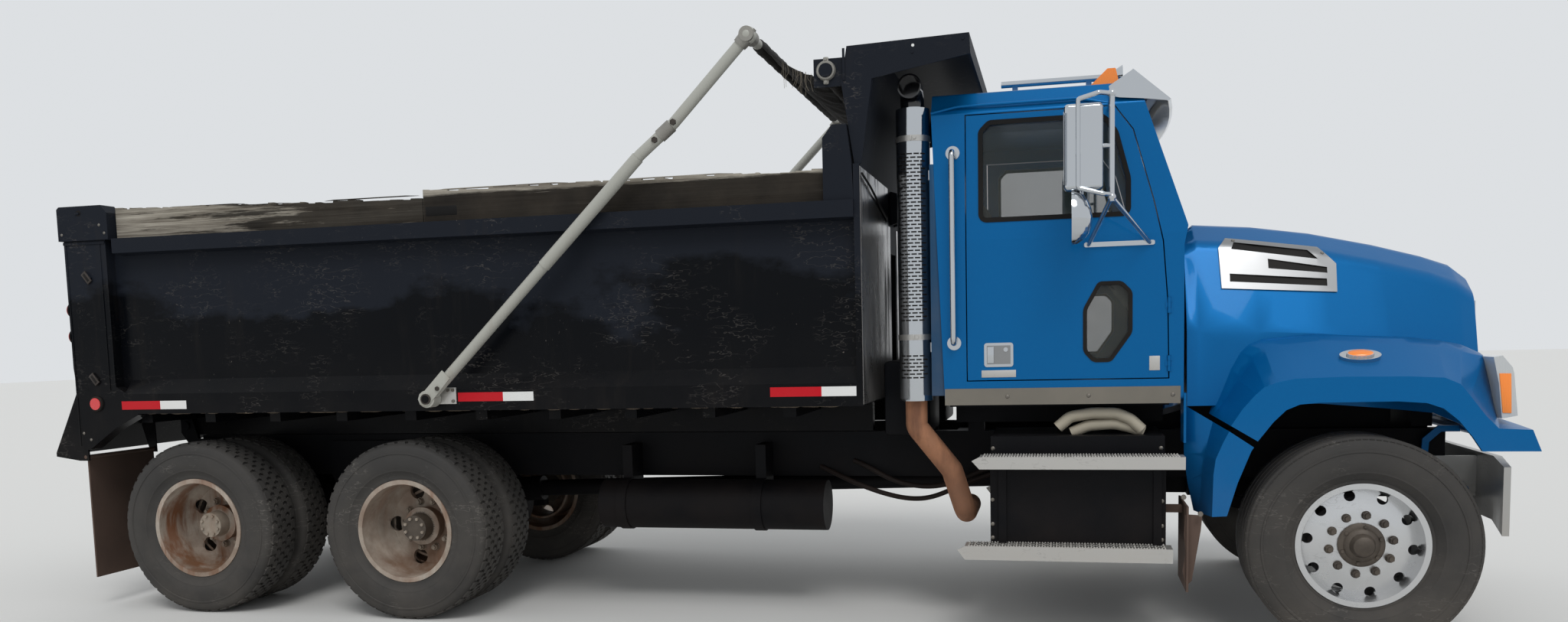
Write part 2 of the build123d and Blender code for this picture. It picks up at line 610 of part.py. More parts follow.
# Trim on the cab: sun visor, air horns, grab bars and the strips below the doors
visor_half_width = cab_half_width - 30.0
grab_bar_x = front_axle_x - 1925.0
with BuildPart() as cab_trim:
    visor_sections = []
    for step_number in range(-4, 5):
        share = step_number / 4
        lip = -855 + 62 * (1 - share * share)
        visor_sections.append((share * visor_half_width, ahead([
            (-1130, cab_roof_z - 87), (-1034, cab_roof_z - 2), (lip, cab_roof_z - 160),
            (lip - 14, cab_roof_z - 171), (-1036, cab_roof_z - 22), (-1120, cab_roof_z - 100)])))
    side_loft(visor_sections)
    visor_end = ahead([(-1150, cab_roof_z - 78), (-1143, cab_roof_z - 126), (-1098, cab_roof_z - 137),
                       (-997, cab_roof_z - 148), (-862, cab_roof_z - 168), (-858, cab_roof_z - 160),
                       (-1034, cab_roof_z - 4)])
    for name, side in sides:
        side_plate(visor_end, *span(side, visor_half_width - 6, visor_half_width))
    horn_z = cab_roof_z + 68
    for name, side in sides:
        y = side * 450
        bar((front_axle_x - 1700, y, horn_z), (front_axle_x - 1130, y, horn_z), 18)
        with BuildSketch(Plane(origin=(front_axle_x - 1130, y, horn_z), z_dir=(1, 0, 0))) as throat:
            Circle(18)
        with BuildSketch(Plane(origin=(front_axle_x - 1060, y, horn_z), z_dir=(1, 0, 0))) as mouth:
            Circle(60)
        loft(Sketch() + [throat.sketch, mouth.sketch])
        for distance in (-1640, -1250):
            block(front_axle_x + distance, front_axle_x + distance + 30, y - 15, y + 15,
                  cab_roof_z - 8, horn_z - 5)
        pipe([(grab_bar_x, side * (cab_half_width - 40), 2500),
              (grab_bar_x, side * (cab_half_width + 55), 2500),
              (grab_bar_x, side * (cab_half_width + 55), 1524),
              (grab_bar_x, side * (cab_half_width - 40), 1524)], 15, 28)
        for z, flange_y in ((2500, cab_half_width - 32), (1524, cab_half_width - 8)):
            bar((grab_bar_x, side * flange_y, z), (grab_bar_x, side * (flange_y + 14), z), 36)
        block(front_axle_x - 1976, front_axle_x - 805,
              *span(side, cab_half_width, cab_half_width + 4), cab_floor_z - 15, cab_floor_z + 71)
    add(cab_outside, mode=Mode.SUBTRACT)
cab_trim.part.label = "cab_trim"
export_step(cab_trim.part, "parts/cab_trim.step")

marker_ys = (-760.0, -180.0, 0.0, 180.0, 760.0)
with BuildPart() as roof_markers:
    for y in marker_ys:
        round_side_plate(ahead([(-1240, cab_roof_z - 40), (-1150, cab_roof_z + 45),
                                (-1110, cab_roof_z + 45), (-1090, cab_roof_z - 40)]), 6,
                         y - 32, y + 32)
    add(cab_outside, mode=Mode.SUBTRACT)
roof_markers.part.label = "roof_markers"
export_step(roof_markers.part, "parts/roof_markers.step")

# Exhaust: the shielded stack behind the cab, and the pipe that feeds it
stack_x = front_axle_x - 2140.0
stack_y = -880.0
stack_radius = 88.0
with BuildPart() as exhaust_stack:
    bar((stack_x, stack_y, 1222), (stack_x, stack_y, 2750), stack_radius)
    pipe([(stack_x, stack_y, 2745), (stack_x, stack_y, 2850), (stack_x, stack_y - 130, 2850)], 62, 80)
    bar((stack_x, stack_y - 40, 2850), (stack_x, stack_y - 135, 2850), 54, mode=Mode.SUBTRACT)
    for z in (1480, 2380):
        block(stack_x + 40, stack_x + 170, stack_y - 30, stack_y + 30, z, z + 50)
    add(cab_outside, mode=Mode.SUBTRACT)
exhaust_stack.part.label = "exhaust_stack"
export_step(exhaust_stack.part, "parts/exhaust_stack.step")

with BuildPart() as exhaust_pipe:
    pipe([(stack_x, stack_y, 1222), (stack_x, stack_y, 1080), (front_axle_x - 1960, -820, 840),
          (front_axle_x - 1890, -780, 600), (front_axle_x - 1890, -rail_outer_y, 600)], 58, 60)
exhaust_pipe.part.label = "exhaust_pipe"
export_step(exhaust_pipe.part, "parts/exhaust_pipe.step")

# The hood tips forward on two pins that the bumper's brackets hold
hood_pin_x = front_axle_x + 640.0
hood_pin_z = 700.0
hood_pin_radius = 14.0
hood_bracket_y = rail_outer_y + 14.0
hood_arm_y = hood_bracket_y + 6.0
hood_arm_thickness = 15.0

# Bumper: a channel across the front with swept-back ends
bumper_low = 580.0
bumper_high = 900.0
with BuildPart() as front_bumper:
    front_face = [(front_axle_x + 740, -700), (front_axle_x + 616, -1200), (front_axle_x + 586, -1200),
                  (front_axle_x + 705, -690), (front_axle_x + 705, 690), (front_axle_x + 586, 1200),
                  (front_axle_x + 616, 1200), (front_axle_x + 740, 700)]
    level_plate(front_face, bumper_low, bumper_high)
    for name, side in sides:
        bracket = ahead([(500, rail_bottom + 5), (500, 876), (705, 876), (705, 665), (615, 665),
                         (590, rail_bottom + 5)])
        side_plate(bracket, *span(side, rail_outer_y, hood_bracket_y))
        bar((hood_pin_x, side * rail_outer_y, hood_pin_z),
            (hood_pin_x, side * (hood_arm_y + 25), hood_pin_z), hood_pin_radius)
front_bumper.part.label = "front_bumper"
export_step(front_bumper.part, "parts/front_bumper.step")

# Flaps behind the front wheels, on a rod from the battery box and from the tank's step
with BuildPart() as front_flaps:
    for name, side in sides:
        block(front_axle_x - 790, front_axle_x - 780, *span(side, 760, 1180), 275, 700)
        block(front_axle_x - 880, front_axle_x - 780, *span(side, 940, 965), 640, 680)
front_flaps.part.label = "front_flaps"
export_step(front_flaps.part, "parts/front_flaps.step")

# Hood and fenders

# Sections: distance ahead, height and half width of the top, the shoulder, the belt and the foot
hood_sections = (
    (-768.0, 2064.0, 560.0, 1985.0, 738.0, 1560.0, 915.0, 1180.0, 940.0),
    (-708.0, 2116.0, 545.0, 2006.0, 736.0, 1556.0, 909.0, 1180.0, 931.0),
    (-420.0, 2094.0, 522.0, 1985.0, 716.0, 1545.0, 880.0, 1180.0, 895.0),
    (-130.0, 2050.0, 500.0, 1945.0, 690.0, 1530.0, 850.0, 1180.0, 850.0),
    (180.0, 1980.0, 472.0, 1872.0, 652.0, 1500.0, 795.0, 1150.0, 795.0),
    (420.0, 1914.0, 440.0, 1805.0, 612.0, 1455.0, 722.0, 1120.0, 722.0),
    (555.0, 1866.0, 418.0, 1757.0, 580.0, 1425.0, 680.0, 1060.0, 680.0),
    (640.0, 1798.0, 400.0, 1700.0, 550.0, 1400.0, 640.0, 1000.0, 640.0),
)
hood_wall = 25.0
hood_corner = 120.0


def hood_form(inset):
    """The hood's closed form between its sections, drawn in by the inset."""
    with BuildPart(mode=Mode.PRIVATE) as form:
        for (distance, top_z, top_y, shoulder_z, shoulder_y, belt_z, belt_y, foot_z,
             foot_y) in hood_sections:
            last = distance == hood_sections[-1][0]
            x = front_axle_x + distance - (inset if last else 0)
            half = [(foot_y - inset, foot_z - 2 * inset), (belt_y - inset, belt_z),
                    (shoulder_y - inset, shoulder_z - inset / 2), (top_y - inset / 2, top_z - inset)]
            points = half + [(-y, z) for y, z in reversed(half)]
            with BuildSketch(Plane.YZ.offset(x)) as section:
                with BuildLine():
                    Polyline(*points, close=True)
                make_face()
                corners = [corner for corner in section.vertices() if corner.Y > belt_z + 5]
                fillet(corners, radius=hood_corner)
        loft(ruled=True)
    return form.part


# The fender in three outlines: where it leaves the hood's side, its upper edge and its crease.
# Each row is the same corner of the three outlines, as distances ahead and heights.
fender_y = (880.0, 950.0, 1200.0)
fender_rows = (
    ((-663, 1142), (-645, 1131), (-592, 1098)),
    ((-622, 1263), (-594, 1195), (-542, 1177)),
    ((-574, 1378), (-525, 1320), (-483, 1247)),
    ((-524, 1450), (-462, 1416), (-443, 1283)),
    ((-481, 1486), (-406, 1460), (-389, 1304)),
    ((-409, 1507), (-330, 1477), (-308, 1321)),
    ((-155, 1526), (-133, 1492), (-88, 1327)),
    ((259, 1502), (242, 1464), (180, 1324)),
    ((388, 1484), (369, 1447), (330, 1316)),
    ((488, 1461), (469, 1430), (398, 1285)),
    ((573, 1418), (570, 1402), (440, 1230)),
    ((606, 1270), (606, 1266), (505, 1140)),
    ((640, 1110), (640, 1108), (561, 1079)),
    ((723, 1077), (723, 1077), (700, 1072)),
)
arch_points = ((738, 973), (497, 973), (455, 1040), (396, 1116), (331, 1173), (260, 1199),
               (140, 1208), (-196, 1206), (-286, 1198), (-346, 1172), (-403, 1114), (-471, 1023))
fender_inner_y = 700.0
fender_wall = 22.0


def fender_outline(column):
    """One of the fender's outlines, closed by the arch over the wheel."""
    return ahead([row[column] for row in fender_rows] + list(arch_points))


def fender_room(column):
    """The outline of the space inside the fender, open below and behind."""
    upper = [row[column] for row in fender_rows]
    (x0, z0), (x1, z1) = upper[0], upper[1]
    upper[0] = (x0 + 1.5 * (x0 - x1), z0 + 1.5 * (z0 - z1))
    return drawn_in(ahead(upper + [(738, 850), (upper[0][0], 850)]), fender_wall)


lamp_outline = ahead([(560, 1404), (598, 1410), (641, 1354), (648, 1326), (668, 1130), (602, 1117),
                      (585, 1283)])
lamp_y = (770.0, 1105.0)
hood_outside = hood_form(0)
hood_inside = hood_form(hood_wall)
grille_half_width = 480.0
vent_slots = (
    ahead([(-540, 1969), (-525, 2005), (-170, 1952), (-123, 1904)]),
    ahead([(-365, 1913), (-82, 1862), (-82, 1832), (-364, 1864)]),
    ahead([(-552, 1843), (-86, 1803), (-86, 1766), (-552, 1802)]),
)
with BuildPart() as hood:
    add(hood_outside)
    for name, side in sides:
        fender_sections = [(side * fender_inner_y, fender_outline(0))]
        fender_sections += [(side * y, fender_outline(column)) for column, y in enumerate(fender_y)]
        side_loft(fender_sections)
    for name, side in sides:
        room = [(side * (fender_inner_y - 100), fender_room(0))]
        room += [(side * (y - (fender_wall if column == 2 else 0)), fender_room(column))
                 for column, y in enumerate(fender_y)]
        side_loft(room, mode=Mode.SUBTRACT)
    add(hood_outside)
    add(hood_inside, mode=Mode.SUBTRACT)
    block(front_axle_x + 600, front_axle_x + 700, -grille_half_width, grille_half_width, 1040, 1660,
          mode=Mode.SUBTRACT)
    for name, side in sides:
        side_plate(lamp_outline, *span(side, *lamp_y), mode=Mode.SUBTRACT)
        for slot in vent_slots:
            side_plate(slot, *span(side, 500, 1100), mode=Mode.SUBTRACT)
        arm = ahead([(625, 689), (655, 711), (465, 822), (474, 950), (530, 1004), (618, 1004),
                     (618, 1036), (516, 1036), (442, 968), (433, 800)])
        side_plate(arm, *span(side, hood_arm_y, hood_arm_y + hood_arm_thickness))
        bar((hood_pin_x, side * hood_arm_y, hood_pin_z),
            (hood_pin_x, side * (hood_arm_y + hood_arm_thickness), hood_pin_z), hood_pin_radius + 13)
        bar((hood_pin_x, side * (hood_arm_y - 5), hood_pin_z),
            (hood_pin_x, side * (hood_arm_y + 30), hood_pin_z), hood_pin_radius + running_gap,
            mode=Mode.SUBTRACT)
hood.part.label = "hood"
export_step(hood.part, "parts/hood.step")

# Grille bars and surround in the hood's nose
grille_front_x = front_axle_x + 665.0
with BuildPart() as grille:
    block(grille_front_x - 25 + seat_gap, grille_front_x, -grille_half_width - 15,
          grille_half_width + 15, 1025, 1675)
    block(grille_front_x - 30, grille_front_x + 10, -grille_half_width + 45, grille_half_width - 45,
          1085, 1615, mode=Mode.SUBTRACT)
    bar_count = 6
    for number in range(bar_count):
        z = 1085 + (number + 0.5) * 530 / bar_count
        block(grille_front_x - 18, grille_front_x - 4, -grille_half_width + 45,
              grille_half_width - 45, z - 12, z + 12)
    # A bright frame around the three slots in each side of the hood
    bezel = ahead([(-602, 1978), (-562, 2030), (-118, 1968), (-36, 1878), (-40, 1735), (-593, 1769)])
    with BuildPart(mode=Mode.PRIVATE) as bezels:
        add(hood_form(-8))
        add(hood_outside, mode=Mode.SUBTRACT)
        with BuildPart(mode=Mode.PRIVATE) as bezel_places:
            for name, side in sides:
                side_plate(bezel, *span(side, 500, 1100))
        add(bezel_places.part, mode=Mode.INTERSECT)
        for name, side in sides:
            for slot in vent_slots:
                side_plate(slot, *span(side, 500, 1100), mode=Mode.SUBTRACT)
    add(bezels.part)
grille.part.label = "grille"
export_step(grille.part, "parts/grille.step")

with BuildPart() as headlamps:
    for name, side in sides:
        side_plate(drawn_in(lamp_outline, seat_gap), *span(side, lamp_y[0] + seat_gap,
                                                           lamp_y[1] - seat_gap))
        # A marker lamp on the fender's upper face
        marker_face = Plane(origin=(front_axle_x, side * 1062, 1405), x_dir=(1, 0, 0),
                            z_dir=(0, side * 0.55, 0.835))
        with BuildSketch(marker_face) as marker_base:
            Ellipse(92, 44)
        extrude(marker_base.sketch, amount=26)
        with BuildSketch(marker_face.offset(20)) as marker_lens:
            Ellipse(62, 30)
        extrude(marker_lens.sketch, amount=16)
    add(hood.part, mode=Mode.SUBTRACT)
headlamps.part.label = "headlamps"
export_step(headlamps.part, "parts/headlamps.step")

# Splash panels behind the front wheels, below the hood's edge
splash_y = (950.0, 1030.0, 1200.0)
splash_rows = (
    ((-785, 1188), (-655, 1106), (-600, 1072)),
    ((-785, 1060), (-672, 1035), (-629, 1013)),
    ((-782, 940), (-693, 943), (-660, 938)),
    ((-766, 800), (-703, 844), (-670, 864)),
    ((-735, 650), (-716, 650), (-675, 655)),
)
splash_front = ((-607, 659), (-560, 820), (-500, 975), (-488, 994))
with BuildPart() as splash_panels:
    for name, side in sides:
        outlines = [[row[column] for row in splash_rows] for column in range(3)]
        sections = [(side * y, ahead(points + list(splash_front)))
                    for y, points in zip(splash_y, outlines)]
        side_loft(sections)
        hollow = []
        for y, points in zip((880.0, 1030.0, fender_y[2] - 14), outlines):
            front = [(x + 60, z) for x, z in splash_front]
            hollow.append((side * y, drawn_in(ahead([(points[0][0], points[0][1] + 60)] + points[1:4]
                                                    + [(points[4][0], 560), (-547, 560)]
                                                    + front[1:]), 12)))
        side_loft(hollow, mode=Mode.SUBTRACT)
        block(cab_front_x, cab_front_x + 12, *span(side, 850, 1010), 1000, cab_floor_z + 35)
splash_panels.part.label = "splash_panels"
export_step(splash_panels.part, "parts/splash_panels.step")

# Steering

knuckle_plate_y = (925.0, 955.0)
hub_inner_y = 970.0
tie_rod_ahead = -175.0
tie_rod_y = kingpin_y
knuckle_gap = 10.0
knuckle_high = 50.0
for name, side in sides:
    with BuildPart() as knuckle:
        for z_low, z_high in ((boss_high + knuckle_gap, boss_high + knuckle_high),
                              (boss_low - knuckle_high, boss_low - knuckle_gap)):
            block(front_axle_x - 38, front_axle_x + 38, *span(side, kingpin_y - 32, knuckle_plate_y[1]),
                  z_low, z_high)
        block(front_axle_x - 60, front_axle_x + 60, *span(side, *knuckle_plate_y),
              boss_low - knuckle_high, boss_high + knuckle_high)
        bar((front_axle_x, side * kingpin_y, boss_low - knuckle_high - 5),
            (front_axle_x, side * kingpin_y, boss_high + knuckle_high + 5), kingpin_radius)
        bar((front_axle_x, side * knuckle_plate_y[0], front_tyre_radius),
            (front_axle_x, side * (front_wheel_y + 60), front_tyre_radius), 40)
        level_plate([(front_axle_x - 40, side * 930), (front_axle_x - 40, side * 890),
                     (front_axle_x + tie_rod_ahead - 25, side * (tie_rod_y - 25)),
                     (front_axle_x + tie_rod_ahead - 25, side * (tie_rod_y + 25))],
                    boss_low - 40, boss_low - 15)
        bar((front_axle_x + tie_rod_ahead, side * tie_rod_y, boss_low - 90),
            (front_axle_x + tie_rod_ahead, side * tie_rod_y, boss_low - 15), 12)
    knuckle.part.label = f"knuckle_{name}"
    export_step(knuckle.part, f"parts/knuckle_{name}.step")

with BuildPart() as tie_rod:
    bar((front_axle_x + tie_rod_ahead, -tie_rod_y, boss_low - 68),
        (front_axle_x + tie_rod_ahead, tie_rod_y, boss_low - 68), 19)
    for name, side in sides:
        y = side * tie_rod_y
        bar((front_axle_x + tie_rod_ahead, y, boss_low - 90), (front_axle_x + tie_rod_ahead, y,
            boss_low - 46), 30)
        bar((front_axle_x + tie_rod_ahead, y, boss_low - 95), (front_axle_x + tie_rod_ahead, y,
            boss_low - 40), 12 + running_gap, mode=Mode.SUBTRACT)
tie_rod.part.label = "tie_rod"
export_step(tie_rod.part, "parts/tie_rod.step")

# Front wheels

for name, side in sides:
    half = front_tyre_width / 2
    bead = front_rim_width / 2
    with BuildPart() as tyre:
        section = [(rim_seat_radius, -bead), (305, -bead), (340, -half + 14), (410, -half),
                   (470, -half + 8), (508, -half + 32), (front_tyre_radius, -half + 62)]
        ring = section + [(radius, -out) for radius, out in reversed(section)]
        spin(ring, front_axle_x, front_tyre_radius, side, front_wheel_y)
    tyre.part.label = f"front_tyre_{name}"
    export_step(tyre.part, f"parts/front_tyre_{name}.step")

    with BuildPart() as rim:
        seat = rim_seat_radius - seat_gap
        ring = [(seat, -bead - 1), (rim_flange_radius, -bead - 1), (rim_flange_radius, -bead - 12),
                (272, -bead - 12), (272, 70), (150, 95), (105, 95), (105, -60), (60, -65),
                (40 + running_gap, -65), (40 + running_gap, 62), (0, 62), (0, 150), (66, 150),
                (76, 140), (105, 120), (150, 120), (255, 96), (272, bead + 12),
                (rim_flange_radius, bead + 12), (rim_flange_radius, bead + 1), (seat, bead + 1)]
        spin(ring, front_axle_x, front_tyre_radius, side, front_wheel_y)
        hole_face = Plane(origin=(front_axle_x, side * (front_wheel_y + 40), front_tyre_radius),
                          x_dir=(1, 0, 0), z_dir=(0, side, 0))
        with BuildSketch(hole_face) as holes:
            with PolarLocations(236, 10, start_angle=-6):
                Circle(25)
        extrude(holes.sketch, amount=120, mode=Mode.SUBTRACT)
    rim.part.label = f"front_rim_{name}"
    export_step(rim.part, f"parts/front_rim_{name}.step")

# Rear twin wheels: axle name, place along X
for axle_name, axle_x, hole_angle in zip(("mid", "rear"), drive_axle_xs, (36, 10)):
    for name, side in sides:
        half = rear_tyre_width / 2
        bead = rear_rim_width / 2
        with BuildPart() as tyres:
            section = [(rim_seat_radius, -bead), (305, -bead), (345, -half + 10), (405, -half),
                       (465, -half + 8), (500, -half + 22), (rear_tyre_radius, -half + 40)]
            ring = section + [(radius, -out) for radius, out in reversed(section)]
            for tyre_y in (dual_outer_y, dual_outer_y - dual_spacing):
                spin(ring, axle_x, rear_tyre_radius, side, tyre_y)
        tyres.part.label = f"{axle_name}_tyres_{name}"
        export_step(tyres.part, f"parts/{axle_name}_tyres_{name}.step")

        with BuildPart() as rims:
            seat = rim_seat_radius - seat_gap
            middle = dual_spacing / 2
            face = 12.0
            outer_rim = [(seat, bead + 1), (rim_flange_radius, bead + 1),
                         (rim_flange_radius, bead + 12), (272, bead + 12), (272, -bead + 5),
                         (232, -middle + face), (90, -middle + face), (90, -middle),
                         (238, -middle), (seat, -bead - 2), (rim_flange_radius, -bead - 2),
                         (rim_flange_radius, -bead - 1), (seat, -bead - 1)]
            spin(outer_rim, axle_x, rear_tyre_radius, side, dual_outer_y)
            inner_rim = [(radius, -out) for radius, out in outer_rim]
            spin(inner_rim, axle_x, rear_tyre_radius, side, dual_outer_y - dual_spacing)
            hub = [(spindle_radius + running_gap, -130), (105, -130), (105, 60), (112, 70),
                   (112, 90), (80, 100), (74, 175), (0, 175), (0, 165),
                   (spindle_radius + running_gap, 165)]
            hub_y = dual_outer_y - middle
            spin(hub, axle_x, rear_tyre_radius, side, hub_y)
            drum = [(90, -8), (210, -8), (210, -270), (196, -270), (196, -22), (90, -22)]
            spin(drum, axle_x, rear_tyre_radius, side, hub_y)
            hole_face = Plane(origin=(axle_x, side * (hub_y - 30), rear_tyre_radius),
                              x_dir=(1, 0, 0), z_dir=(0, side, 0))
            with BuildSketch(hole_face) as holes:
                with PolarLocations(206, 5, start_angle=hole_angle):
                    Circle(45)
            extrude(holes.sketch, amount=60, mode=Mode.SUBTRACT)
        rims.part.label = f"{axle_name}_rims_{name}"
        export_step(rims.part, f"parts/{axle_name}_rims_{name}.step")

# Bed

housing_y = 115.0
housing_wall = 10.0
housing_top = 2060.0
housing_foot = -2660.0
apron_y = (bed_half_width - 60.0, bed_half_width - 48.0)
flap_rod_x = front_axle_x - 7250.0
flap_rod_z = 948.0
flap_rod_radius = 12.0
flap_inner_y = 612.0
with BuildPart() as bed_floor:
    block(bed_rear_x, bed_front_x, -bed_half_width + bed_wall, bed_half_width - bed_wall,
          bed_floor_top - bed_floor_thickness, bed_floor_top)
    for number in range(10):
        rib_x = bed_rear_x + 420 + number * (bed_front_x - bed_rear_x - 800) / 9
        block(rib_x - 35, rib_x + 35, -bed_half_width + 100, bed_half_width - 100,
              bed_floor_top - bed_floor_thickness - 60, bed_floor_top - bed_floor_thickness)
    for name, side in sides:
        sill_inner = sill_outer_y - sill_width
        sill = [(bed_hinge_x - 50, bed_floor_top - 40), (bed_hinge_x - 50, bed_hinge_z),
                (bed_hinge_x - 30, sill_bottom), (bed_front_x - 40, sill_bottom),
                (bed_front_x - 40, bed_floor_top - 40)]
        side_plate(sill, *span(side, sill_inner, sill_outer_y))
        apron_side = ahead([(-7240, 1420), (-7464, 975), (-7464, 951), (-7290, 925), (-7225, 925),
                            (-7225, 1210)])
        side_plate(apron_side, *span(side, *apron_y))
        hanger = ahead([(-7230, 1230), (-7330, 1110), (-7275, 925), (-7225, 925)])
        side_plate(hanger, *span(side, flap_inner_y - 14, flap_inner_y - 6))
    chute = ahead([(-7235, 1262), (-7464, 975), (-7464, 955), (-7225, 1240)])
    side_plate(chute, -apron_y[0], apron_y[0])
    bar((flap_rod_x, -apron_y[1] - 5, flap_rod_z), (flap_rod_x, apron_y[1] + 5, flap_rod_z),
        flap_rod_radius + running_gap, mode=Mode.SUBTRACT)
    bar((bed_hinge_x, -sill_outer_y - 10, bed_hinge_z), (bed_hinge_x, sill_outer_y + 10, bed_hinge_z),
        hinge_pin_radius + running_gap, mode=Mode.SUBTRACT)
    # Room for the ram as it leans back
    block(front_axle_x + housing_foot - 2, bed_front_x + 1, -housing_y - seat_gap,
          housing_y + seat_gap, bed_floor_top - 200, bed_floor_top + 1, mode=Mode.SUBTRACT)
bed_floor.part.label = "bed_floor"
export_step(bed_floor.part, "parts/bed_floor.step")

# Bed sides: wall section seen from the front, as (distance from the middle, height)
inner_y = bed_half_width - bed_wall
wall_section = [(inner_y, bed_floor_top - bed_floor_thickness), (inner_y, bed_rail_top),
                (bed_half_width + 20, bed_rail_top), (bed_half_width + 20, bed_rail_top - 87),
                (bed_half_width - 65, bed_rail_top - 97), (bed_half_width - 65, 1418),
                (bed_half_width, 1335), (bed_half_width, bed_floor_top - bed_floor_thickness)]
post_outline = ahead([(-7240, bed_rail_top + 5), (-7240, 1500), (-7192, 996), (-7160, 1000),
                      (-6969, 1127), (-6797, 1208), (-6797, 1330), (-6880, 1345), (-6941, 1380),
                      (-6941, bed_rail_top + 5)])
cap_outline = ahead([(-7257, bed_rail_top - 3), (-7257, bed_rail_top + 186),
                     (-7240, bed_rail_top + 201), (-6940, bed_rail_top + 201),
                     (-6901, bed_rail_top + 155), (-6901, bed_rail_top - 3)])
pocket_outline = ahead([(-2561, bed_rail_top - 3), (-2561, bed_rail_top + 315),
                        (-2510, bed_rail_top + 380), (-2436, bed_rail_top + 380), (-2412, 2444),
                        (-2405, bed_rail_top - 3)])
gate_pin_x = front_axle_x - 7200.0
gate_pin_z = bed_rail_top + 95.0
gate_pin_radius = 22.0
arm_pivot_x = front_axle_x - 4811.0
arm_pivot_z = 1285.0
arm_pin_radius = 22.0
arm_y = bed_half_width + 60.0
arm_radius = 30.0
for name, side in sides:
    with BuildPart() as bed_side:
        cross_plate([(side * y, z) for y, z in wall_section], front_axle_x - 6880, bed_front_x)
        side_plate(post_outline, *span(side, inner_y, bed_half_width))
        # The strip between the post and the panel
        block(front_axle_x - 6950, front_axle_x - 6870, *span(side, inner_y, bed_half_width - 65),
              bed_floor_top - bed_floor_thickness, bed_rail_top)
        side_plate(cap_outline, *span(side, inner_y, bed_half_width + 20))
        side_plate(pocket_outline, *span(side, inner_y - 10, bed_half_width))
        for z in (2041, 1429):
            lug = ahead([(-7118, z), (-7086, z + 34), (-7054, z), (-7086, z - 34)])
            side_plate(lug, *span(side, bed_half_width, bed_half_width + 10))
        bar((arm_pivot_x, side * (bed_half_width - 20), arm_pivot_z),
            (arm_pivot_x, side * (arm_y + 45), arm_pivot_z), arm_pin_radius)
        bar((gate_pin_x, side * (inner_y - 20), gate_pin_z),
            (gate_pin_x, side * (bed_half_width - 30), gate_pin_z), gate_pin_radius + running_gap,
            mode=Mode.SUBTRACT)
    bed_side.part.label = f"bed_side_{name}"
    export_step(bed_side.part, f"parts/bed_side_{name}.step")

# Red lamps on the bed's rear posts: one to the side and two to the rear on each post
with BuildPart() as bed_lamps:
    for name, side in sides:
        bar((front_axle_x - 7087, side * bed_half_width, 1279),
            (front_axle_x - 7087, side * (bed_half_width + 18), 1279), 36)
        for z in (1690, 1850):
            bar((front_axle_x - 7240, side * (inner_y + 46), z),
                (front_axle_x - 7262, side * (inner_y + 46), z), 40)
bed_lamps.part.label = "bed_lamps"
export_step(bed_lamps.part, "parts/bed_lamps.step")

# Bed front: an upright wall that leans forward into the cab shield, with the tarp's roller
wall_thickness = 31.0
roller_x = front_axle_x - 2538.0
roller_z = 2918.0
with BuildPart() as bed_front:
    wall = ahead([(-2405, 1215), (-2405, 2444), (-2306, 3010), (-2430, 3012), (-2430, 3030),
                  (-1819, 3047), (-1814, 2946), (-1826, 2946), (-1831, 3030), (-2272, 3016),
                  (-2374, 2440), (-2374, 1215)])
    front_y = bed_half_width - 32
    side_plate(wall, -front_y, front_y)
    # A sloping housing in the wall's foot, for the ram as it leans back
    block(front_axle_x - 2450, front_axle_x - 2300, -housing_y + housing_wall,
          housing_y - housing_wall, bed_floor_top - 200, housing_top, mode=Mode.SUBTRACT)
    housing_low = bed_floor_top - bed_floor_thickness
    housing_back = ahead([(-2390, housing_top), (-2390, housing_top + 25), (-2415, housing_top + 15),
                          (housing_foot, housing_low), (housing_foot + 10, housing_low),
                          (-2405, housing_top)])
    side_plate(housing_back, -housing_y, housing_y)
    housing_side = ahead([(-2380, housing_top + 25), (-2415, housing_top + 15),
                          (housing_foot, housing_low), (-2380, housing_low)])
    for name, side in sides:
        side_plate(housing_side, *span(side, housing_y - housing_wall, housing_y))
    shield_side = ahead([(-2430, 3030), (-1819, 3047), (-1814, 2946), (-2304, 2862),
                         (-2366, 2444), (-2400, 2444), (-2461, 2851)])
    for name, side in sides:
        side_plate(shield_side, *span(side, front_y, front_y + 12))
        block(front_axle_x - 2405, front_axle_x - 2374, *span(side, front_y, bed_half_width), 1215,
              2444)
        bracket = ahead([(-2603, 2979), (-2440, 2979), (-2440, 2838), (-2603, 2838)])
        side_plate(bracket, *span(side, front_y - 12, front_y))
        bar((roller_x, side * (front_y - 38), roller_z), (roller_x, side * (front_y + 27), roller_z), 34)
    bar((roller_x, -front_y, roller_z), (roller_x, front_y, roller_z), 28)
    for name, side in sides:
        side_plate(ahead([(-2374, 2230), (-2374, 2430), (-2175, 2370), (-2175, 2290)]),
                   *span(side, hoist_cheek_y, hoist_cheek_y + 20))
bed_front.part.label = "bed_front"
export_step(bed_front.part, "parts/bed_front.step")

# Weathered boards that raise the sides
board_outline = ahead([(-6895, bed_rail_top), (-6895, bed_rail_top + 190),
                       (-6108, bed_rail_top + 171), (-5196, bed_rail_top + 147),
                       (-4833, bed_rail_top + 185), (-3644, bed_rail_top + 175),
                       (-2570, bed_rail_top + 173), (-2570, bed_rail_top)])
with BuildPart() as sideboards:
    for name, side in sides:
        side_plate(board_outline, *span(side, inner_y + 5, inner_y + 43))
sideboards.part.label = "sideboards"
export_step(sideboards.part, "parts/sideboards.step")

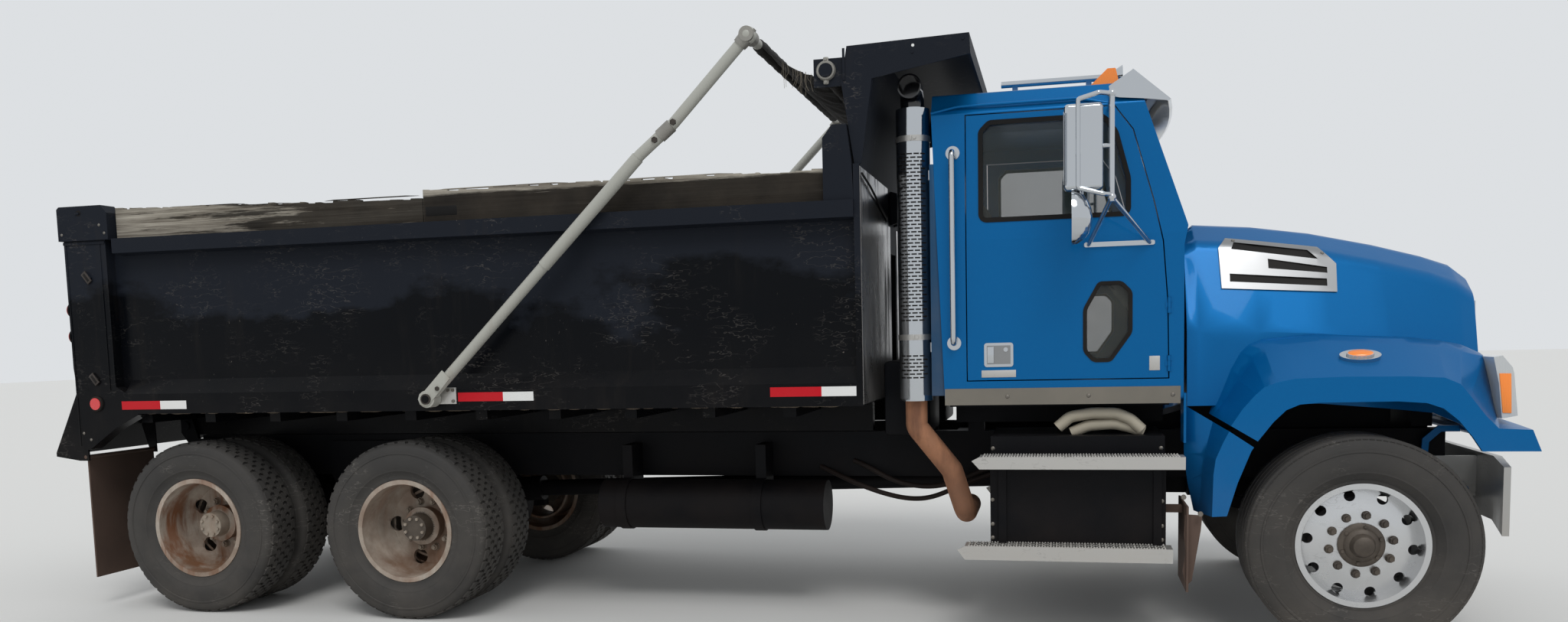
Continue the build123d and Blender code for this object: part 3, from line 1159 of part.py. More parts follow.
# Tailgate: a framed panel on two pins at its top corners
gate_half_width = inner_y - 6.0
with BuildPart() as tailgate:
    gate_x = front_axle_x - 7236.0
    gate_low = bed_floor_top + 6
    gate_high = bed_rail_top + 145
    block(gate_x + 50, gate_x + 60, -gate_half_width, gate_half_width, gate_low, gate_high - 10)
    for z_low, z_high in ((gate_low, gate_low + 100), (gate_low + 530, gate_low + 600),
                          (gate_high - 100, gate_high)):
        block(gate_x, gate_x + 56, -gate_half_width, gate_half_width, z_low, z_high)
    for y in (-gate_half_width + 40, -360, 360, gate_half_width - 40):
        block(gate_x, gate_x + 56, y - 40, y + 40, gate_low, gate_high - 10)
    bar((gate_pin_x, -bed_half_width + 40, gate_pin_z), (gate_pin_x, bed_half_width - 40, gate_pin_z),
        gate_pin_radius)
tailgate.part.label = "tailgate"
export_step(tailgate.part, "parts/tailgate.step")

# Tarp bow: a bent arm each side, from its pivot low on the bed up to a tube across the top
arm_points = ahead([(-4780, 1316), (-3518, 2545), (-3330, 2693), (-2926, 3099)])
bow_tip = (front_axle_x - 2920.0, 3105.0)
with BuildPart() as tarp_bow:
    for name, side in sides:
        y = side * arm_y
        (x0, z0), (x1, z1), (x2, z2), (x3, z3) = arm_points
        pipe([(x0, y, z0), (x1, y, z1), (x2, y, z2), (x3, y, z3)], arm_radius, 60)
        bar((arm_pivot_x, side * (bed_half_width + 12), arm_pivot_z),
            (arm_pivot_x, side * (arm_y + 30), arm_pivot_z), 48)
        bar((arm_pivot_x, side * bed_half_width, arm_pivot_z),
            (arm_pivot_x, side * (arm_y + 60), arm_pivot_z), arm_pin_radius + running_gap,
            mode=Mode.SUBTRACT)
        # The arm's wider sleeve, and the casting at its tip
        bar((x0 + 0.55 * (x1 - x0), y, z0 + 0.55 * (z1 - z0)),
            (x0 + 0.99 * (x1 - x0), y, z0 + 0.99 * (z1 - z0)), arm_radius + 4)
        with Locations((bow_tip[0], y, bow_tip[1])):
            Sphere(44)
    bar((bow_tip[0], -arm_y - 25, bow_tip[1]), (bow_tip[0], arm_y + 25, bow_tip[1]), 27)
tarp_bow.part.label = "tarp_bow"
export_step(tarp_bow.part, "parts/tarp_bow.step")

with BuildPart() as tarp:
    cloth = ahead([(-2896, 3090), (-2760, 2983), (-2600, 2945), (-2545, 2950), (-2545, 2961),
                   (-2600, 2956), (-2756, 2993), (-2890, 3099)])
    cloth_y = bed_half_width - 140
    side_plate(cloth, -cloth_y, cloth_y)
    bar((bow_tip[0], -cloth_y, bow_tip[1]), (bow_tip[0], cloth_y, bow_tip[1]), 33)
    bar((roller_x, -cloth_y, roller_z), (roller_x, cloth_y, roller_z), 44)
    bar((bow_tip[0], -cloth_y - 10, bow_tip[1]), (bow_tip[0], cloth_y + 10, bow_tip[1]),
        27 + seat_gap, mode=Mode.SUBTRACT)
    bar((roller_x, -cloth_y - 10, roller_z), (roller_x, cloth_y + 10, roller_z), 28 + seat_gap,
        mode=Mode.SUBTRACT)
tarp.part.label = "tarp"
export_step(tarp.part, "parts/tarp.step")

# Rear flaps: rubber sheets that hang from a rod under the bed's tail
with BuildPart() as rear_flaps:
    for name, side in sides:
        block(flap_rod_x - 5, flap_rod_x + 5, *span(side, flap_inner_y, apron_y[0] - 8), 190,
              flap_rod_z)
        bar((flap_rod_x, side * (flap_inner_y - 14), flap_rod_z),
            (flap_rod_x, side * (apron_y[1] - 2), flap_rod_z), flap_rod_radius)
rear_flaps.part.label = "rear_flaps"
export_step(rear_flaps.part, "parts/rear_flaps.step")

# Hoist: a telescopic ram between the cab and the bed
# Stages: name, outer radius, bottom, top
hoist_stages = (("hoist_barrel", 95.0, 780.0, 2180.0), ("hoist_stage_1", 78.0, 860.0, 2205.0),
                ("hoist_stage_2", 62.0, 880.0, 2230.0), ("hoist_rod", 46.0, 900.0, 2300.0))
for number, (name, radius, bottom, top) in enumerate(hoist_stages):
    with BuildPart() as stage:
        bar((hoist_x, 0, bottom), (hoist_x, 0, top), radius)
        if number + 1 < len(hoist_stages):
            inner_radius = hoist_stages[number + 1][1] + running_gap
            inner_bottom = hoist_stages[number + 1][2] - 5
            bar((hoist_x, 0, inner_bottom), (hoist_x, 0, top + 1), inner_radius, mode=Mode.SUBTRACT)
        else:
            bar((hoist_x, -50, hoist_top_z), (hoist_x, 50, hoist_top_z), 48)
            pin_end = hoist_cheek_y - running_gap
            bar((hoist_x, -pin_end, hoist_top_z), (hoist_x, pin_end, hoist_top_z), hoist_pin_radius)
        if number == 0:
            bar((hoist_x, -100, hoist_base_z), (hoist_x, 100, hoist_base_z),
                hoist_base_radius + running_gap, mode=Mode.SUBTRACT)
    stage.part.label = name
    export_step(stage.part, f"parts/{name}.step")
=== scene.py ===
"""The looks of a dump truck: finishes, fittings and cloth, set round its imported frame."""

from __future__ import annotations

import json
import logging
import math
import random
import time
from dataclasses import dataclass, field
from enum import Enum
from typing import Any, Callable, Sequence

import bmesh
import bpy
from mathutils import Matrix, Vector
from mathutils.bvhtree import BVHTree

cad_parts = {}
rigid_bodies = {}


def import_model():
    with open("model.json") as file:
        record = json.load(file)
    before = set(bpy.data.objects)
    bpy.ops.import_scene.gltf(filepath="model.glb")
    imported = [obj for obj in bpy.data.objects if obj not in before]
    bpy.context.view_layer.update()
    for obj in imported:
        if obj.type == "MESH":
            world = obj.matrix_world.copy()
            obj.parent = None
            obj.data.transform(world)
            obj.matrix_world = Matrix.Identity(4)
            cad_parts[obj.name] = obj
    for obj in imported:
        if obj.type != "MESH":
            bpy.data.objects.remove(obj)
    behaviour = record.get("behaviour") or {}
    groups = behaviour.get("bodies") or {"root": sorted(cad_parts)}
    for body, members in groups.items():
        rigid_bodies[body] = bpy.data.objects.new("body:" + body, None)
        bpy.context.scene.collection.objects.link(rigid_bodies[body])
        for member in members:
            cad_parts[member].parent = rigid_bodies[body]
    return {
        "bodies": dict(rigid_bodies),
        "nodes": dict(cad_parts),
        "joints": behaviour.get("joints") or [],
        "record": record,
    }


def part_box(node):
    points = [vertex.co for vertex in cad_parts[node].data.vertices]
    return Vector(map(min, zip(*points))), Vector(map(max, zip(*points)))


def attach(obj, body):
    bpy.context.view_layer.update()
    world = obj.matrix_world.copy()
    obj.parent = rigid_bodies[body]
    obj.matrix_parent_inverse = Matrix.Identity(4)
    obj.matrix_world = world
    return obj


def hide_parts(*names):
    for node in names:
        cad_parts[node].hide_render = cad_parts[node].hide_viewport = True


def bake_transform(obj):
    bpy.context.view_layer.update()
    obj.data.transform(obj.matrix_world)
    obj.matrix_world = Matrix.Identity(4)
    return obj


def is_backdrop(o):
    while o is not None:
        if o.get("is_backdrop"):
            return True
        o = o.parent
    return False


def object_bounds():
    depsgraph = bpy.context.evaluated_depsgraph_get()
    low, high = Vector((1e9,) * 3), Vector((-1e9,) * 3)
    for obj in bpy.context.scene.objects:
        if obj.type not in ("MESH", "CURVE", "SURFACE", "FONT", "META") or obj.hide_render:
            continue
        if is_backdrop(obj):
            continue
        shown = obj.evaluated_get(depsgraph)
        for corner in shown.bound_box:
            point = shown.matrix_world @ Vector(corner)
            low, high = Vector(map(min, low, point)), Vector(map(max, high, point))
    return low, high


log = logging.getLogger("dump_truck")

Colour = tuple[float, float, float]
Point = tuple[float, float, float]
Place = Sequence[float]
Pair = tuple[float, float]
Outline = Sequence[Pair]
Socket = Any


class Slot(Enum):
    """The record's material slots that pieces take their finish from."""

    BLUE = "blue_paint"
    BED = "bed_paint"
    FRAME = "frame_paint"
    ARM = "arm_paint"
    CHROME = "chrome"
    BUMPER = "bumper_steel"
    ALLOY_RIM = "rim_alloy"
    STEEL_RIM = "rim_steel"
    ALLOY = "bare_alloy"
    RUSTY = "rusty_steel"
    TYRE = "tyre"
    RUBBER = "flap_rubber"
    WOOD = "wood"
    MESH = "mesh_cloth"
    SEAT = "seat_cloth"
    DASH = "dash_plastic"
    GLASS = "glass"
    AMBER = "amber_lens"
    LAMP = "lamp_lens"
    RED = "red_lens"


class Side(Enum):
    """The truck's two sides, as the sign of Y."""

    RIGHT = -1
    LEFT = 1

    @property
    def word(self) -> str:
        """The side's name as nodes and bodies write it."""
        return self.name.lower()

    def span(self, inner: float, outer: float) -> list[float]:
        """Two distances from the middle as the lower and the higher Y."""
        return sorted((self.value * inner, self.value * outer))

    def first_hit(self, tree: BVHTree, x: float, z: float) -> Vector | None:
        """Where a line across the truck first meets a mesh from this side."""
        return tree.ray_cast(Vector((x, self.value * OUTSIDE_Y, z)), Vector((0.0, -self.value, 0.0)))[0]


def tint(red: int, green: int, blue: int) -> Colour:
    """A colour written as a picture shows it, turned into the linear values that shaders take.

    Args:
        red, green, blue: Values from 0 to 255.

    Returns:
        The linear colour.
    """
    def linear(value: int) -> float:
        part = value / 255.0
        return part / 12.92 if part <= 0.04045 else ((part + 0.055) / 1.055) ** 2.4

    return linear(red), linear(green), linear(blue)


FRONT_AXLE_X = 3.362
OUTSIDE_Y = 1.4


def at(distance: float) -> float:
    """The X in metres of a distance in mm ahead of the front axle."""
    return FRONT_AXLE_X + distance / 1000.0


def ahead(*corners: Pair) -> list[Pair]:
    """Corners in metres from mm ahead of the front axle and mm above the ground."""
    return [(at(distance), height / 1000.0) for distance, height in corners]


def around(x: float, z: float, radius: float, count: int, first: float, sense: int = 1) -> list[Pair]:
    """Even places on an upright circle.

    Args:
        x, z: Its middle.
        radius: Its radius.
        count: How many places it has.
        first: The first one's angle in degrees.
        sense: Which way they go round.

    Returns:
        Each place's X and Z.
    """
    angles = [math.radians(first + 360 / count * number) for number in range(count)]
    return [(x + radius * math.cos(angle), z + sense * radius * math.sin(angle)) for angle in angles]


UP = Vector((0.0, 0.0, 1.0))
DUST = tint(150, 136, 118)
RUST = tint(112, 66, 40)
BARE_STEEL = tint(126, 124, 120)


def add_object(name: str, data: Any) -> bpy.types.Object:
    """A new object in the scene with some data."""
    piece = bpy.data.objects.new(name, data)
    bpy.context.scene.collection.objects.link(piece)
    return piece


def round_line(name: str, points: Sequence[Place], radius: float, sides: int, smooth: int) -> bpy.types.Curve:
    """A smooth round line along some points.

    Args:
        name: The curve's name.
        points: The points that steer it.
        radius: Its outer radius.
        sides: How finely its roundness is cut.
        smooth: How finely each bend is cut.

    Returns:
        The curve.
    """
    line = bpy.data.curves.new(name, "CURVE")
    line.dimensions = "3D"
    spline = line.splines.new("NURBS")
    spline.points.add(len(points) - 1)
    for point, place in zip(spline.points, points):
        point.co = (*place, 1.0)
    spline.order_u = 3
    spline.use_endpoint_u = True
    spline.resolution_u = smooth
    line.bevel_depth = radius
    line.bevel_resolution = sides
    line.use_fill_caps = True
    return line


class Tree:
    """Short ways to add nodes to one shader tree and to join them."""

    def __init__(self, tree: bpy.types.NodeTree) -> None:
        """Works on one node tree, and clears it."""
        self.tree = tree
        self.tree.nodes.clear()

    @classmethod
    def surface(cls, name: str) -> tuple[bpy.types.Material, "Tree", bpy.types.Node]:
        """A new material with one surface shader.

        Args:
            name: The material's name.

        Returns:
            The material, its tree and its shader.
        """
        material = bpy.data.materials.new(name)
        material.use_nodes = True
        tree = cls(material.node_tree)
        shader = tree.add("ShaderNodeBsdfPrincipled")
        output = tree.add("ShaderNodeOutputMaterial")
        tree.feed(output.inputs["Surface"], shader.outputs["BSDF"])
        return material, tree, shader

    def add(self, kind: str, **settings: Any) -> bpy.types.Node:
        """A new node with its properties set."""
        node = self.tree.nodes.new(kind)
        for key, value in settings.items():
            setattr(node, key, value)
        return node

    def feed(self, socket: Socket, value: Any) -> None:
        """Joins a socket to another, or sets its value.

        Args:
            socket: The input to feed.
            value: An output socket, a number, a vector or a colour.
        """
        if isinstance(value, bpy.types.NodeSocket):
            self.tree.links.new(value, socket)
        elif isinstance(value, tuple) and socket.type == "RGBA":
            socket.default_value = (*value[:3], 1.0)
        else:
            socket.default_value = value

    def place(self) -> Socket:
        """The point's place in the object."""
        return self.add("ShaderNodeTexCoord").outputs["Object"]

    def axes(self) -> Any:
        """The place's three numbers, by their axis names."""
        node = self.add("ShaderNodeSeparateXYZ")
        self.feed(node.inputs[0], self.place())
        return node.outputs

    def stretched(self, scale: Any) -> Socket:
        """The place with each axis scaled.

        Args:
            scale: Three numbers, or a vector socket.

        Returns:
            The scaled place.
        """
        node = self.add("ShaderNodeVectorMath", operation="MULTIPLY")
        self.feed(node.inputs[0], self.place())
        self.feed(node.inputs[1], scale)
        return node.outputs[0]

    def upright(self, flat: Any, high: Any) -> Socket:
        """A scale with one value along X and Y and another along Z."""
        node = self.add("ShaderNodeCombineXYZ")
        for axis, value in zip("XYZ", (flat, flat, high)):
            self.feed(node.inputs[axis], value)
        return node.outputs[0]

    def noise(self, scale: Any, detail: float = 4.0, rough: float = 0.55, vector: Socket | None = None) -> Socket:
        """Noise about 0.5 over the surface.

        Args:
            scale: Waves per metre.
            detail: Number of finer layers.
            rough: How strong the finer layers are.
            vector: The place to read, or None for the point's own.

        Returns:
            The noise value.
        """
        node = self.add("ShaderNodeTexNoise")
        self.feed(node.inputs["Vector"], vector if vector is not None else self.place())
        self.feed(node.inputs["Scale"], scale)
        node.inputs["Detail"].default_value = detail
        node.inputs["Roughness"].default_value = rough
        return node.outputs["Fac"]

    def math(self, operation: str, first: Any, second: Any = 0.0, clamp: bool = False) -> Socket:
        """One step of arithmetic on two values."""
        node = self.add("ShaderNodeMath", operation=operation, use_clamp=clamp)
        self.feed(node.inputs[0], first)
        self.feed(node.inputs[1], second)
        return node.outputs[0]

    def times(self, first: Any, second: Any) -> Socket:
        """One value times another."""
        return self.math("MULTIPLY", first, second)

    def plus(self, first: Any, second: Any) -> Socket:
        """One value plus another."""
        return self.math("ADD", first, second)

    def spread(self, value: Any, low: Any, high: Any, to_low: Any = 0.0, to_high: Any = 1.0) -> Socket:
        """A value mapped from one range to another and held inside it."""
        node = self.add("ShaderNodeMapRange", clamp=True)
        for name, given in (("Value", value), ("From Min", low), ("From Max", high), ("To Min", to_low),
                ("To Max", to_high)):
            self.feed(node.inputs[name], given)
        return node.outputs["Result"]

    def blend(self, factor: Any, first: Any, second: Any) -> Socket:
        """A colour between two, by a factor from 0 to 1."""
        node = self.add("ShaderNodeMix", data_type="RGBA", clamp_factor=True)
        self.feed(node.inputs["Factor"], factor)
        self.feed(node.inputs[6], first)
        self.feed(node.inputs[7], second)
        return node.outputs[2]

    def bump(self, height: Any, distance: float, strength: float = 1.0, normal: Socket | None = None) -> Socket:
        """A normal bent by a height in metres times the distance."""
        node = self.add("ShaderNodeBump")
        node.inputs["Strength"].default_value = strength
        node.inputs["Distance"].default_value = distance
        self.feed(node.inputs["Height"], height)
        if normal is not None:
            self.feed(node.inputs["Normal"], normal)
        return node.outputs["Normal"]

    def shared(self, group: bpy.types.NodeTree, **values: Any) -> bpy.types.Node:
        """A shared effect placed in this tree, with its inputs set by name."""
        node = self.add("ShaderNodeGroup")
        node.node_tree = group
        for name, value in values.items():
            self.feed(node.inputs[name], value)
        return node


class Effects:
    """The effects that several finishes share, each built once as a node group."""

    def __init__(self) -> None:
        """Builds every group."""
        self.edge_wear = self._edge_wear()
        self.dust = self._dust()
        self.streaks = self._streaks()
        self.mottle = self._mottle()
        self.scuffs = self._scuffs()

    @staticmethod
    def _open(name: str, inputs: dict[str, float], outputs: Sequence[str]) -> tuple[Tree, bpy.types.NodeTree, Any,
            Any]:
        """A new group with named number sockets.

        Args:
            name: The group's name.
            inputs: Each input's name and usual value.
            outputs: The outputs' names.

        Returns:
            The tree helper, the group, and by name what it is given and what it gives.
        """
        group = bpy.data.node_groups.new(name, "ShaderNodeTree")
        for key, value in inputs.items():
            socket = group.interface.new_socket(name=key, in_out="INPUT", socket_type="NodeSocketFloat")
            socket.default_value = value
        for key in outputs:
            group.interface.new_socket(name=key, in_out="OUTPUT", socket_type="NodeSocketFloat")
        tree = Tree(group)
        return tree, group, tree.add("NodeGroupInput").outputs, tree.add("NodeGroupOutput").inputs

    def _edge_wear(self) -> bpy.types.NodeTree:
        """Paint rubbed off along edges, broken up by noise."""
        tree, group, given, result = self._open("edge wear", {"Width": 0.004, "Amount": 0.5, "Breakup": 14.0},
            ["Mask"])
        rounded = tree.add("ShaderNodeBevel", samples=4)
        tree.feed(rounded.inputs["Radius"], given["Width"])
        flat = tree.add("ShaderNodeNewGeometry")
        turn = tree.add("ShaderNodeVectorMath", operation="DOT_PRODUCT")
        tree.feed(turn.inputs[0], rounded.outputs["Normal"])
        tree.feed(turn.inputs[1], flat.outputs["Normal"])
        edge = tree.spread(tree.math("SUBTRACT", 1.0, turn.outputs["Value"]), 0.02, 0.18)
        start = tree.spread(given["Amount"], 0.0, 1.0, 0.75, 0.3)
        patch = tree.spread(tree.noise(given["Breakup"], 6.0, 0.65), start, tree.plus(start, 0.08))
        tree.feed(result["Mask"], tree.times(edge, patch))
        return group

    def _dust(self) -> bpy.types.NodeTree:
        """Road dust that thickens downwards and on faces that look up."""
        tree, group, given, result = self._open("road dust", {"Low": 0.0, "High": 1.2, "Upward": 0.3, "Amount": 0.5,
            "Scale": 2.5}, ["Mask"])
        down = tree.spread(tree.axes()["Z"], given["High"], given["Low"])
        facing = tree.add("ShaderNodeSeparateXYZ")
        tree.feed(facing.inputs[0], tree.add("ShaderNodeNewGeometry").outputs["Normal"])
        up = tree.times(tree.spread(facing.outputs["Z"], 0.3, 1.0), given["Upward"])
        patch = tree.spread(tree.noise(given["Scale"], 7.0, 0.62), 0.32, 0.66, 0.15, 1.0)
        both = tree.times(tree.plus(down, up), patch)
        tree.feed(result["Mask"], tree.math("MULTIPLY", both, given["Amount"], clamp=True))
        return group

    def _streaks(self) -> bpy.types.NodeTree:
        """Runs of dirt or rust down a wall."""
        tree, group, given, result = self._open("streaks", {"Scale": 9.0, "Stretch": 7.0, "Start": 0.55,
            "Amount": 0.5}, ["Mask"])
        scale = tree.upright(given["Scale"], tree.math("DIVIDE", given["Scale"], given["Stretch"]))
        runs = tree.noise(1.0, 5.0, 0.6, tree.stretched(scale))
        found = tree.spread(runs, given["Start"], tree.plus(given["Start"], 0.16))
        patch = tree.spread(tree.noise(1.3, 2.0), 0.35, 0.62)
        tree.feed(result["Mask"], tree.times(tree.times(found, patch), given["Amount"]))
        return group

    def _mottle(self) -> bpy.types.NodeTree:
        """A slow change of shade, and a fine unevenness for bumps."""
        tree, group, given, result = self._open("mottle", {"Scale": 3.0, "Spread": 0.2, "Fine": 220.0},
            ["Shade", "Height"])
        slow = tree.math("SUBTRACT", tree.noise(given["Scale"], 5.0, 0.6), 0.5)
        shade = tree.times(tree.times(slow, given["Spread"]), 2.0)
        tree.feed(result["Shade"], tree.math("ADD", shade, 0.5, clamp=True))
        tree.feed(result["Height"], tree.noise(given["Fine"], 3.0, 0.6))
        return group

    def _scuffs(self) -> bpy.types.NodeTree:
        """Thin scratches in patches."""
        tree, group, given, result = self._open("scuffs", {"Scale": 5.0, "Slant": 3.0, "Width": 0.012, "Amount": 0.5},
            ["Mask"])
        scale = tree.upright(given["Scale"], tree.times(given["Scale"], given["Slant"]))
        field_value = tree.noise(1.0, 3.0, 0.7, tree.stretched(scale))
        line = tree.math("ABSOLUTE", tree.math("SUBTRACT", field_value, 0.5))
        thin = tree.spread(line, 0.0, given["Width"], 1.0, 0.0)
        patch = tree.spread(tree.noise(2.4, 3.0), 0.5, 0.62)
        tree.feed(result["Mask"], tree.times(tree.times(thin, patch), given["Amount"]))
        return group


@dataclass(frozen=True)
class Dust:
    """How thick the road dust is, between which heights it fades, and how much lies on upper faces."""

    amount: float = 0.0
    low: float = 0.2
    high: float = 1.3
    upward: float = 0.25
    colour: Colour = DUST


@dataclass(frozen=True)
class Finish:
    """One finish: its paint or metal, and the wear, dust and dirt that it carries."""

    name: str
    slot: Slot
    colour: Colour
    roughness: float = 0.5
    metallic: float = 0.0
    coat: float = 0.0
    specular: float = 0.5
    mottle: float = 0.12
    mottle_scale: float = 2.5
    wear: float = 0.0
    wear_width: float = 0.004
    wear_colour: Colour = BARE_STEEL
    dust: Dust = Dust()
    streaks: float = 0.0
    streak_colour: Colour = RUST
    streak_start: float = 0.55
    scuffs: float = 0.0
    scuff_colour: Colour = BARE_STEEL
    bump: float = 0.0
    bump_scale: float = 220.0

    def base(self, tree: Tree, effects: Effects) -> tuple[Any, Any]:
        """The clean colour and roughness before wear and dirt.

        Args:
            tree: The material's tree.
            effects: The shared groups.

        Returns:
            The colour and the roughness, as sockets or values.
        """
        mottle = tree.shared(effects.mottle, Scale=self.mottle_scale, Spread=self.mottle * 2.5, Fine=self.bump_scale)
        dark = tuple(part * (1.0 - self.mottle) for part in self.colour)
        light = tuple(min(1.0, part * (1.0 + self.mottle)) for part in self.colour)
        colour = tree.blend(mottle.outputs["Shade"], dark, light)
        rough = tree.spread(mottle.outputs["Shade"], 0.0, 1.0, self.roughness * 0.8, min(1.0, self.roughness * 1.2))
        return colour, rough

    def height(self, tree: Tree, effects: Effects) -> Any | None:
        """The surface's fine relief, or None where it is smooth."""
        if self.bump == 0.0:
            return None
        return tree.shared(effects.mottle, Fine=self.bump_scale).outputs["Height"]

    def shade(self, tree: Tree, shader: bpy.types.Node) -> None:
        """Sets what else the shader needs."""
        shader.inputs["Metallic"].default_value = self.metallic
        shader.inputs["Specular IOR Level"].default_value = self.specular
        if self.coat:
            shader.inputs["Coat Weight"].default_value = self.coat
            shader.inputs["Coat Roughness"].default_value = 0.06

    def make(self, effects: Effects) -> bpy.types.Material:
        """Builds the material.

        Args:
            effects: The shared groups.

        Returns:
            The material.
        """
        material, tree, shader = Tree.surface(self.name)
        self.shade(tree, shader)
        colour, rough = self.base(tree, effects)
        metal: Any = self.metallic
        dust = self.dust
        layers = (
            (self.scuffs, effects.scuffs, {}, self.scuff_colour, 0.5, None),
            (self.streaks, effects.streaks, {"Start": self.streak_start}, self.streak_colour, 0.8, 0.0),
            (self.wear, effects.edge_wear, {"Width": self.wear_width}, self.wear_colour, 0.45, None),
            (dust.amount, effects.dust, {"Low": dust.low, "High": dust.high, "Upward": dust.upward}, dust.colour, 0.9,
                0.0),
        )
        for amount, group, values, shade, matt, metal_after in layers:
            if not amount:
                continue
            mask = tree.shared(group, Amount=amount, **values).outputs["Mask"]
            colour = tree.blend(mask, colour, shade)
            rough = tree.spread(mask, 0.0, 1.0, rough, matt)
            if metal_after is not None and self.metallic:
                metal = tree.spread(mask, 0.0, 1.0, metal, metal_after)
        tree.feed(shader.inputs["Base Color"], colour)
        tree.feed(shader.inputs["Roughness"], rough)
        tree.feed(shader.inputs["Metallic"], metal)
        height = self.height(tree, effects)
        if height is not None:
            tree.feed(shader.inputs["Normal"], tree.bump(height, self.bump))
        return material


@dataclass(frozen=True)
class FlakePaint(Finish):
    """Clear-coated paint with fine metal flakes in it."""

    flake_colour: Colour = (0.2, 0.4, 0.8)

    def base(self, tree: Tree, effects: Effects) -> tuple[Any, Any]:
        """The flake's sparkle over the slow change of shade."""
        colour, rough = super().base(tree, effects)
        cells = tree.add("ShaderNodeTexVoronoi")
        tree.feed(cells.inputs["Vector"], tree.place())
        cells.inputs["Scale"].default_value = 1400.0
        sparkle = tree.spread(cells.outputs["Color"], 0.72, 0.95, 0.0, 0.35)
        return tree.blend(sparkle, colour, self.flake_colour), rough


@dataclass(frozen=True)
class BedPaint(Finish):
    """Black bed paint: glossy, with paler, duller bluish patches that grow toward the panels' tops."""

    haze_colour: Colour = tint(30, 34, 42)
    speck_colour: Colour = tint(104, 98, 92)

    def base(self, tree: Tree, effects: Effects) -> tuple[Any, Any]:
        """Ragged paler bluish patches that grow toward the panels' tops, and fine pale specks low down."""
        colour, rough = super().base(tree, effects)
        place = tree.axes()
        upper = tree.spread(place["Z"], 1.35, 2.15, -0.3, 0.22)
        blotch = tree.noise(1.0, 7.0, 0.6, tree.stretched((0.75, 1.0, 1.3)))
        top_patches = tree.spread(tree.plus(blotch, upper), 0.50, 0.56, 0.0, 0.8)
        colour = tree.blend(top_patches, colour, self.haze_colour)
        rough = tree.spread(top_patches, 0.0, 1.0, rough, 0.62)
        chips = tree.noise(1.0, 3.0, 0.6, tree.stretched((70.0, 70.0, 38.0)))
        where = tree.spread(tree.noise(1.6, 3.0), 0.46, 0.68, 0.0, 0.9)
        specks = tree.times(tree.spread(chips, 0.70, 0.74), where)
        return tree.blend(specks, colour, self.speck_colour), rough


@dataclass(frozen=True)
class Board(Finish):
    """Weathered boards with grain along X and joints between boards."""

    light: Colour = tint(172, 166, 154)
    dark: Colour = tint(66, 58, 50)
    paint: Colour = tint(27, 26, 26)
    paint_from: float = -4.846
    paint_below: float = 2.425

    def base(self, tree: Tree, effects: Effects) -> tuple[Any, Any]:
        """Grey grain, darker in the cracks, with worn black paint over the front boards' faces."""
        grain = tree.noise(1.0, 8.0, 0.72, tree.stretched((1.6, 60.0, 75.0)))
        stain = tree.noise(1.1, 4.0, 0.6, tree.stretched((1.0, 3.0, 5.0)))
        mixed = tree.plus(tree.times(grain, 0.8), tree.times(stain, 0.4))
        colour = tree.blend(tree.spread(mixed, 0.44, 0.74), self.dark, self.light)
        place = tree.axes()
        start = FRONT_AXLE_X + self.paint_from
        front = tree.spread(place["X"], start - 0.002, start + 0.002)
        ragged = tree.times(tree.noise(1.0, 6.0, 0.7, tree.stretched((3.0, 10.0, 30.0))), 0.05)
        edge = tree.plus(place["Z"], ragged)
        below = tree.spread(edge, self.paint_below + 0.012, self.paint_below + 0.026, 1.0, 0.0)
        worn = tree.spread(grain, 0.66, 0.76, 0.97, 0.4)
        painted = tree.times(tree.times(front, below), worn)
        runs = tree.noise(1.0, 6.0, 0.65, tree.stretched((2.2, 8.0, 34.0)))
        creep = tree.plus(runs, tree.spread(place["X"], start - 2.0, start - 0.3, -0.12, 0.22))
        behind = tree.spread(tree.times(creep, tree.math("SUBTRACT", 1.0, front)), 0.48, 0.56)
        cover = tree.math("MAXIMUM", painted, tree.times(behind, 0.9))
        return tree.blend(cover, colour, self.paint), 0.8

    def height(self, tree: Tree, effects: Effects) -> Any | None:
        """The raised grain."""
        return tree.noise(1.0, 8.0, 0.75, tree.stretched((1.6, 60.0, 75.0)))


@dataclass(frozen=True)
class Glass(Finish):
    """Thin tinted window glass."""

    clear: float = 0.28

    def make(self, effects: Effects) -> bpy.types.Material:
        """A part see-through pane with a little dust."""
        material, tree, shader = Tree.surface(self.name)
        shader.inputs["Metallic"].default_value = 0.0
        shader.inputs["Transmission Weight"].default_value = 0.0
        shader.inputs["Specular IOR Level"].default_value = 0.6
        dust = tree.shared(effects.dust, Low=0.9, High=3.2, Upward=0.3, Amount=0.25).outputs["Mask"]
        tree.feed(shader.inputs["Base Color"], tree.blend(dust, self.colour, DUST))
        tree.feed(shader.inputs["Roughness"], tree.spread(dust, 0.0, 1.0, self.roughness, 0.4))
        tree.feed(shader.inputs["Alpha"], tree.spread(dust, 0.0, 1.0, self.clear, 0.75))
        return material


@dataclass(frozen=True)
class Weave(Finish):
    """Woven cloth: threads both ways on the piece's own place."""

    thread: float = 0.0016

    def height(self, tree: Tree, effects: Effects) -> Any | None:
        """The threads' relief."""
        place = tree.axes()
        turns = math.tau / self.thread
        across = tree.math("SINE", tree.times(place["Y"], turns))
        along = tree.math("SINE", tree.times(place["X"], turns))
        return tree.times(across, along)


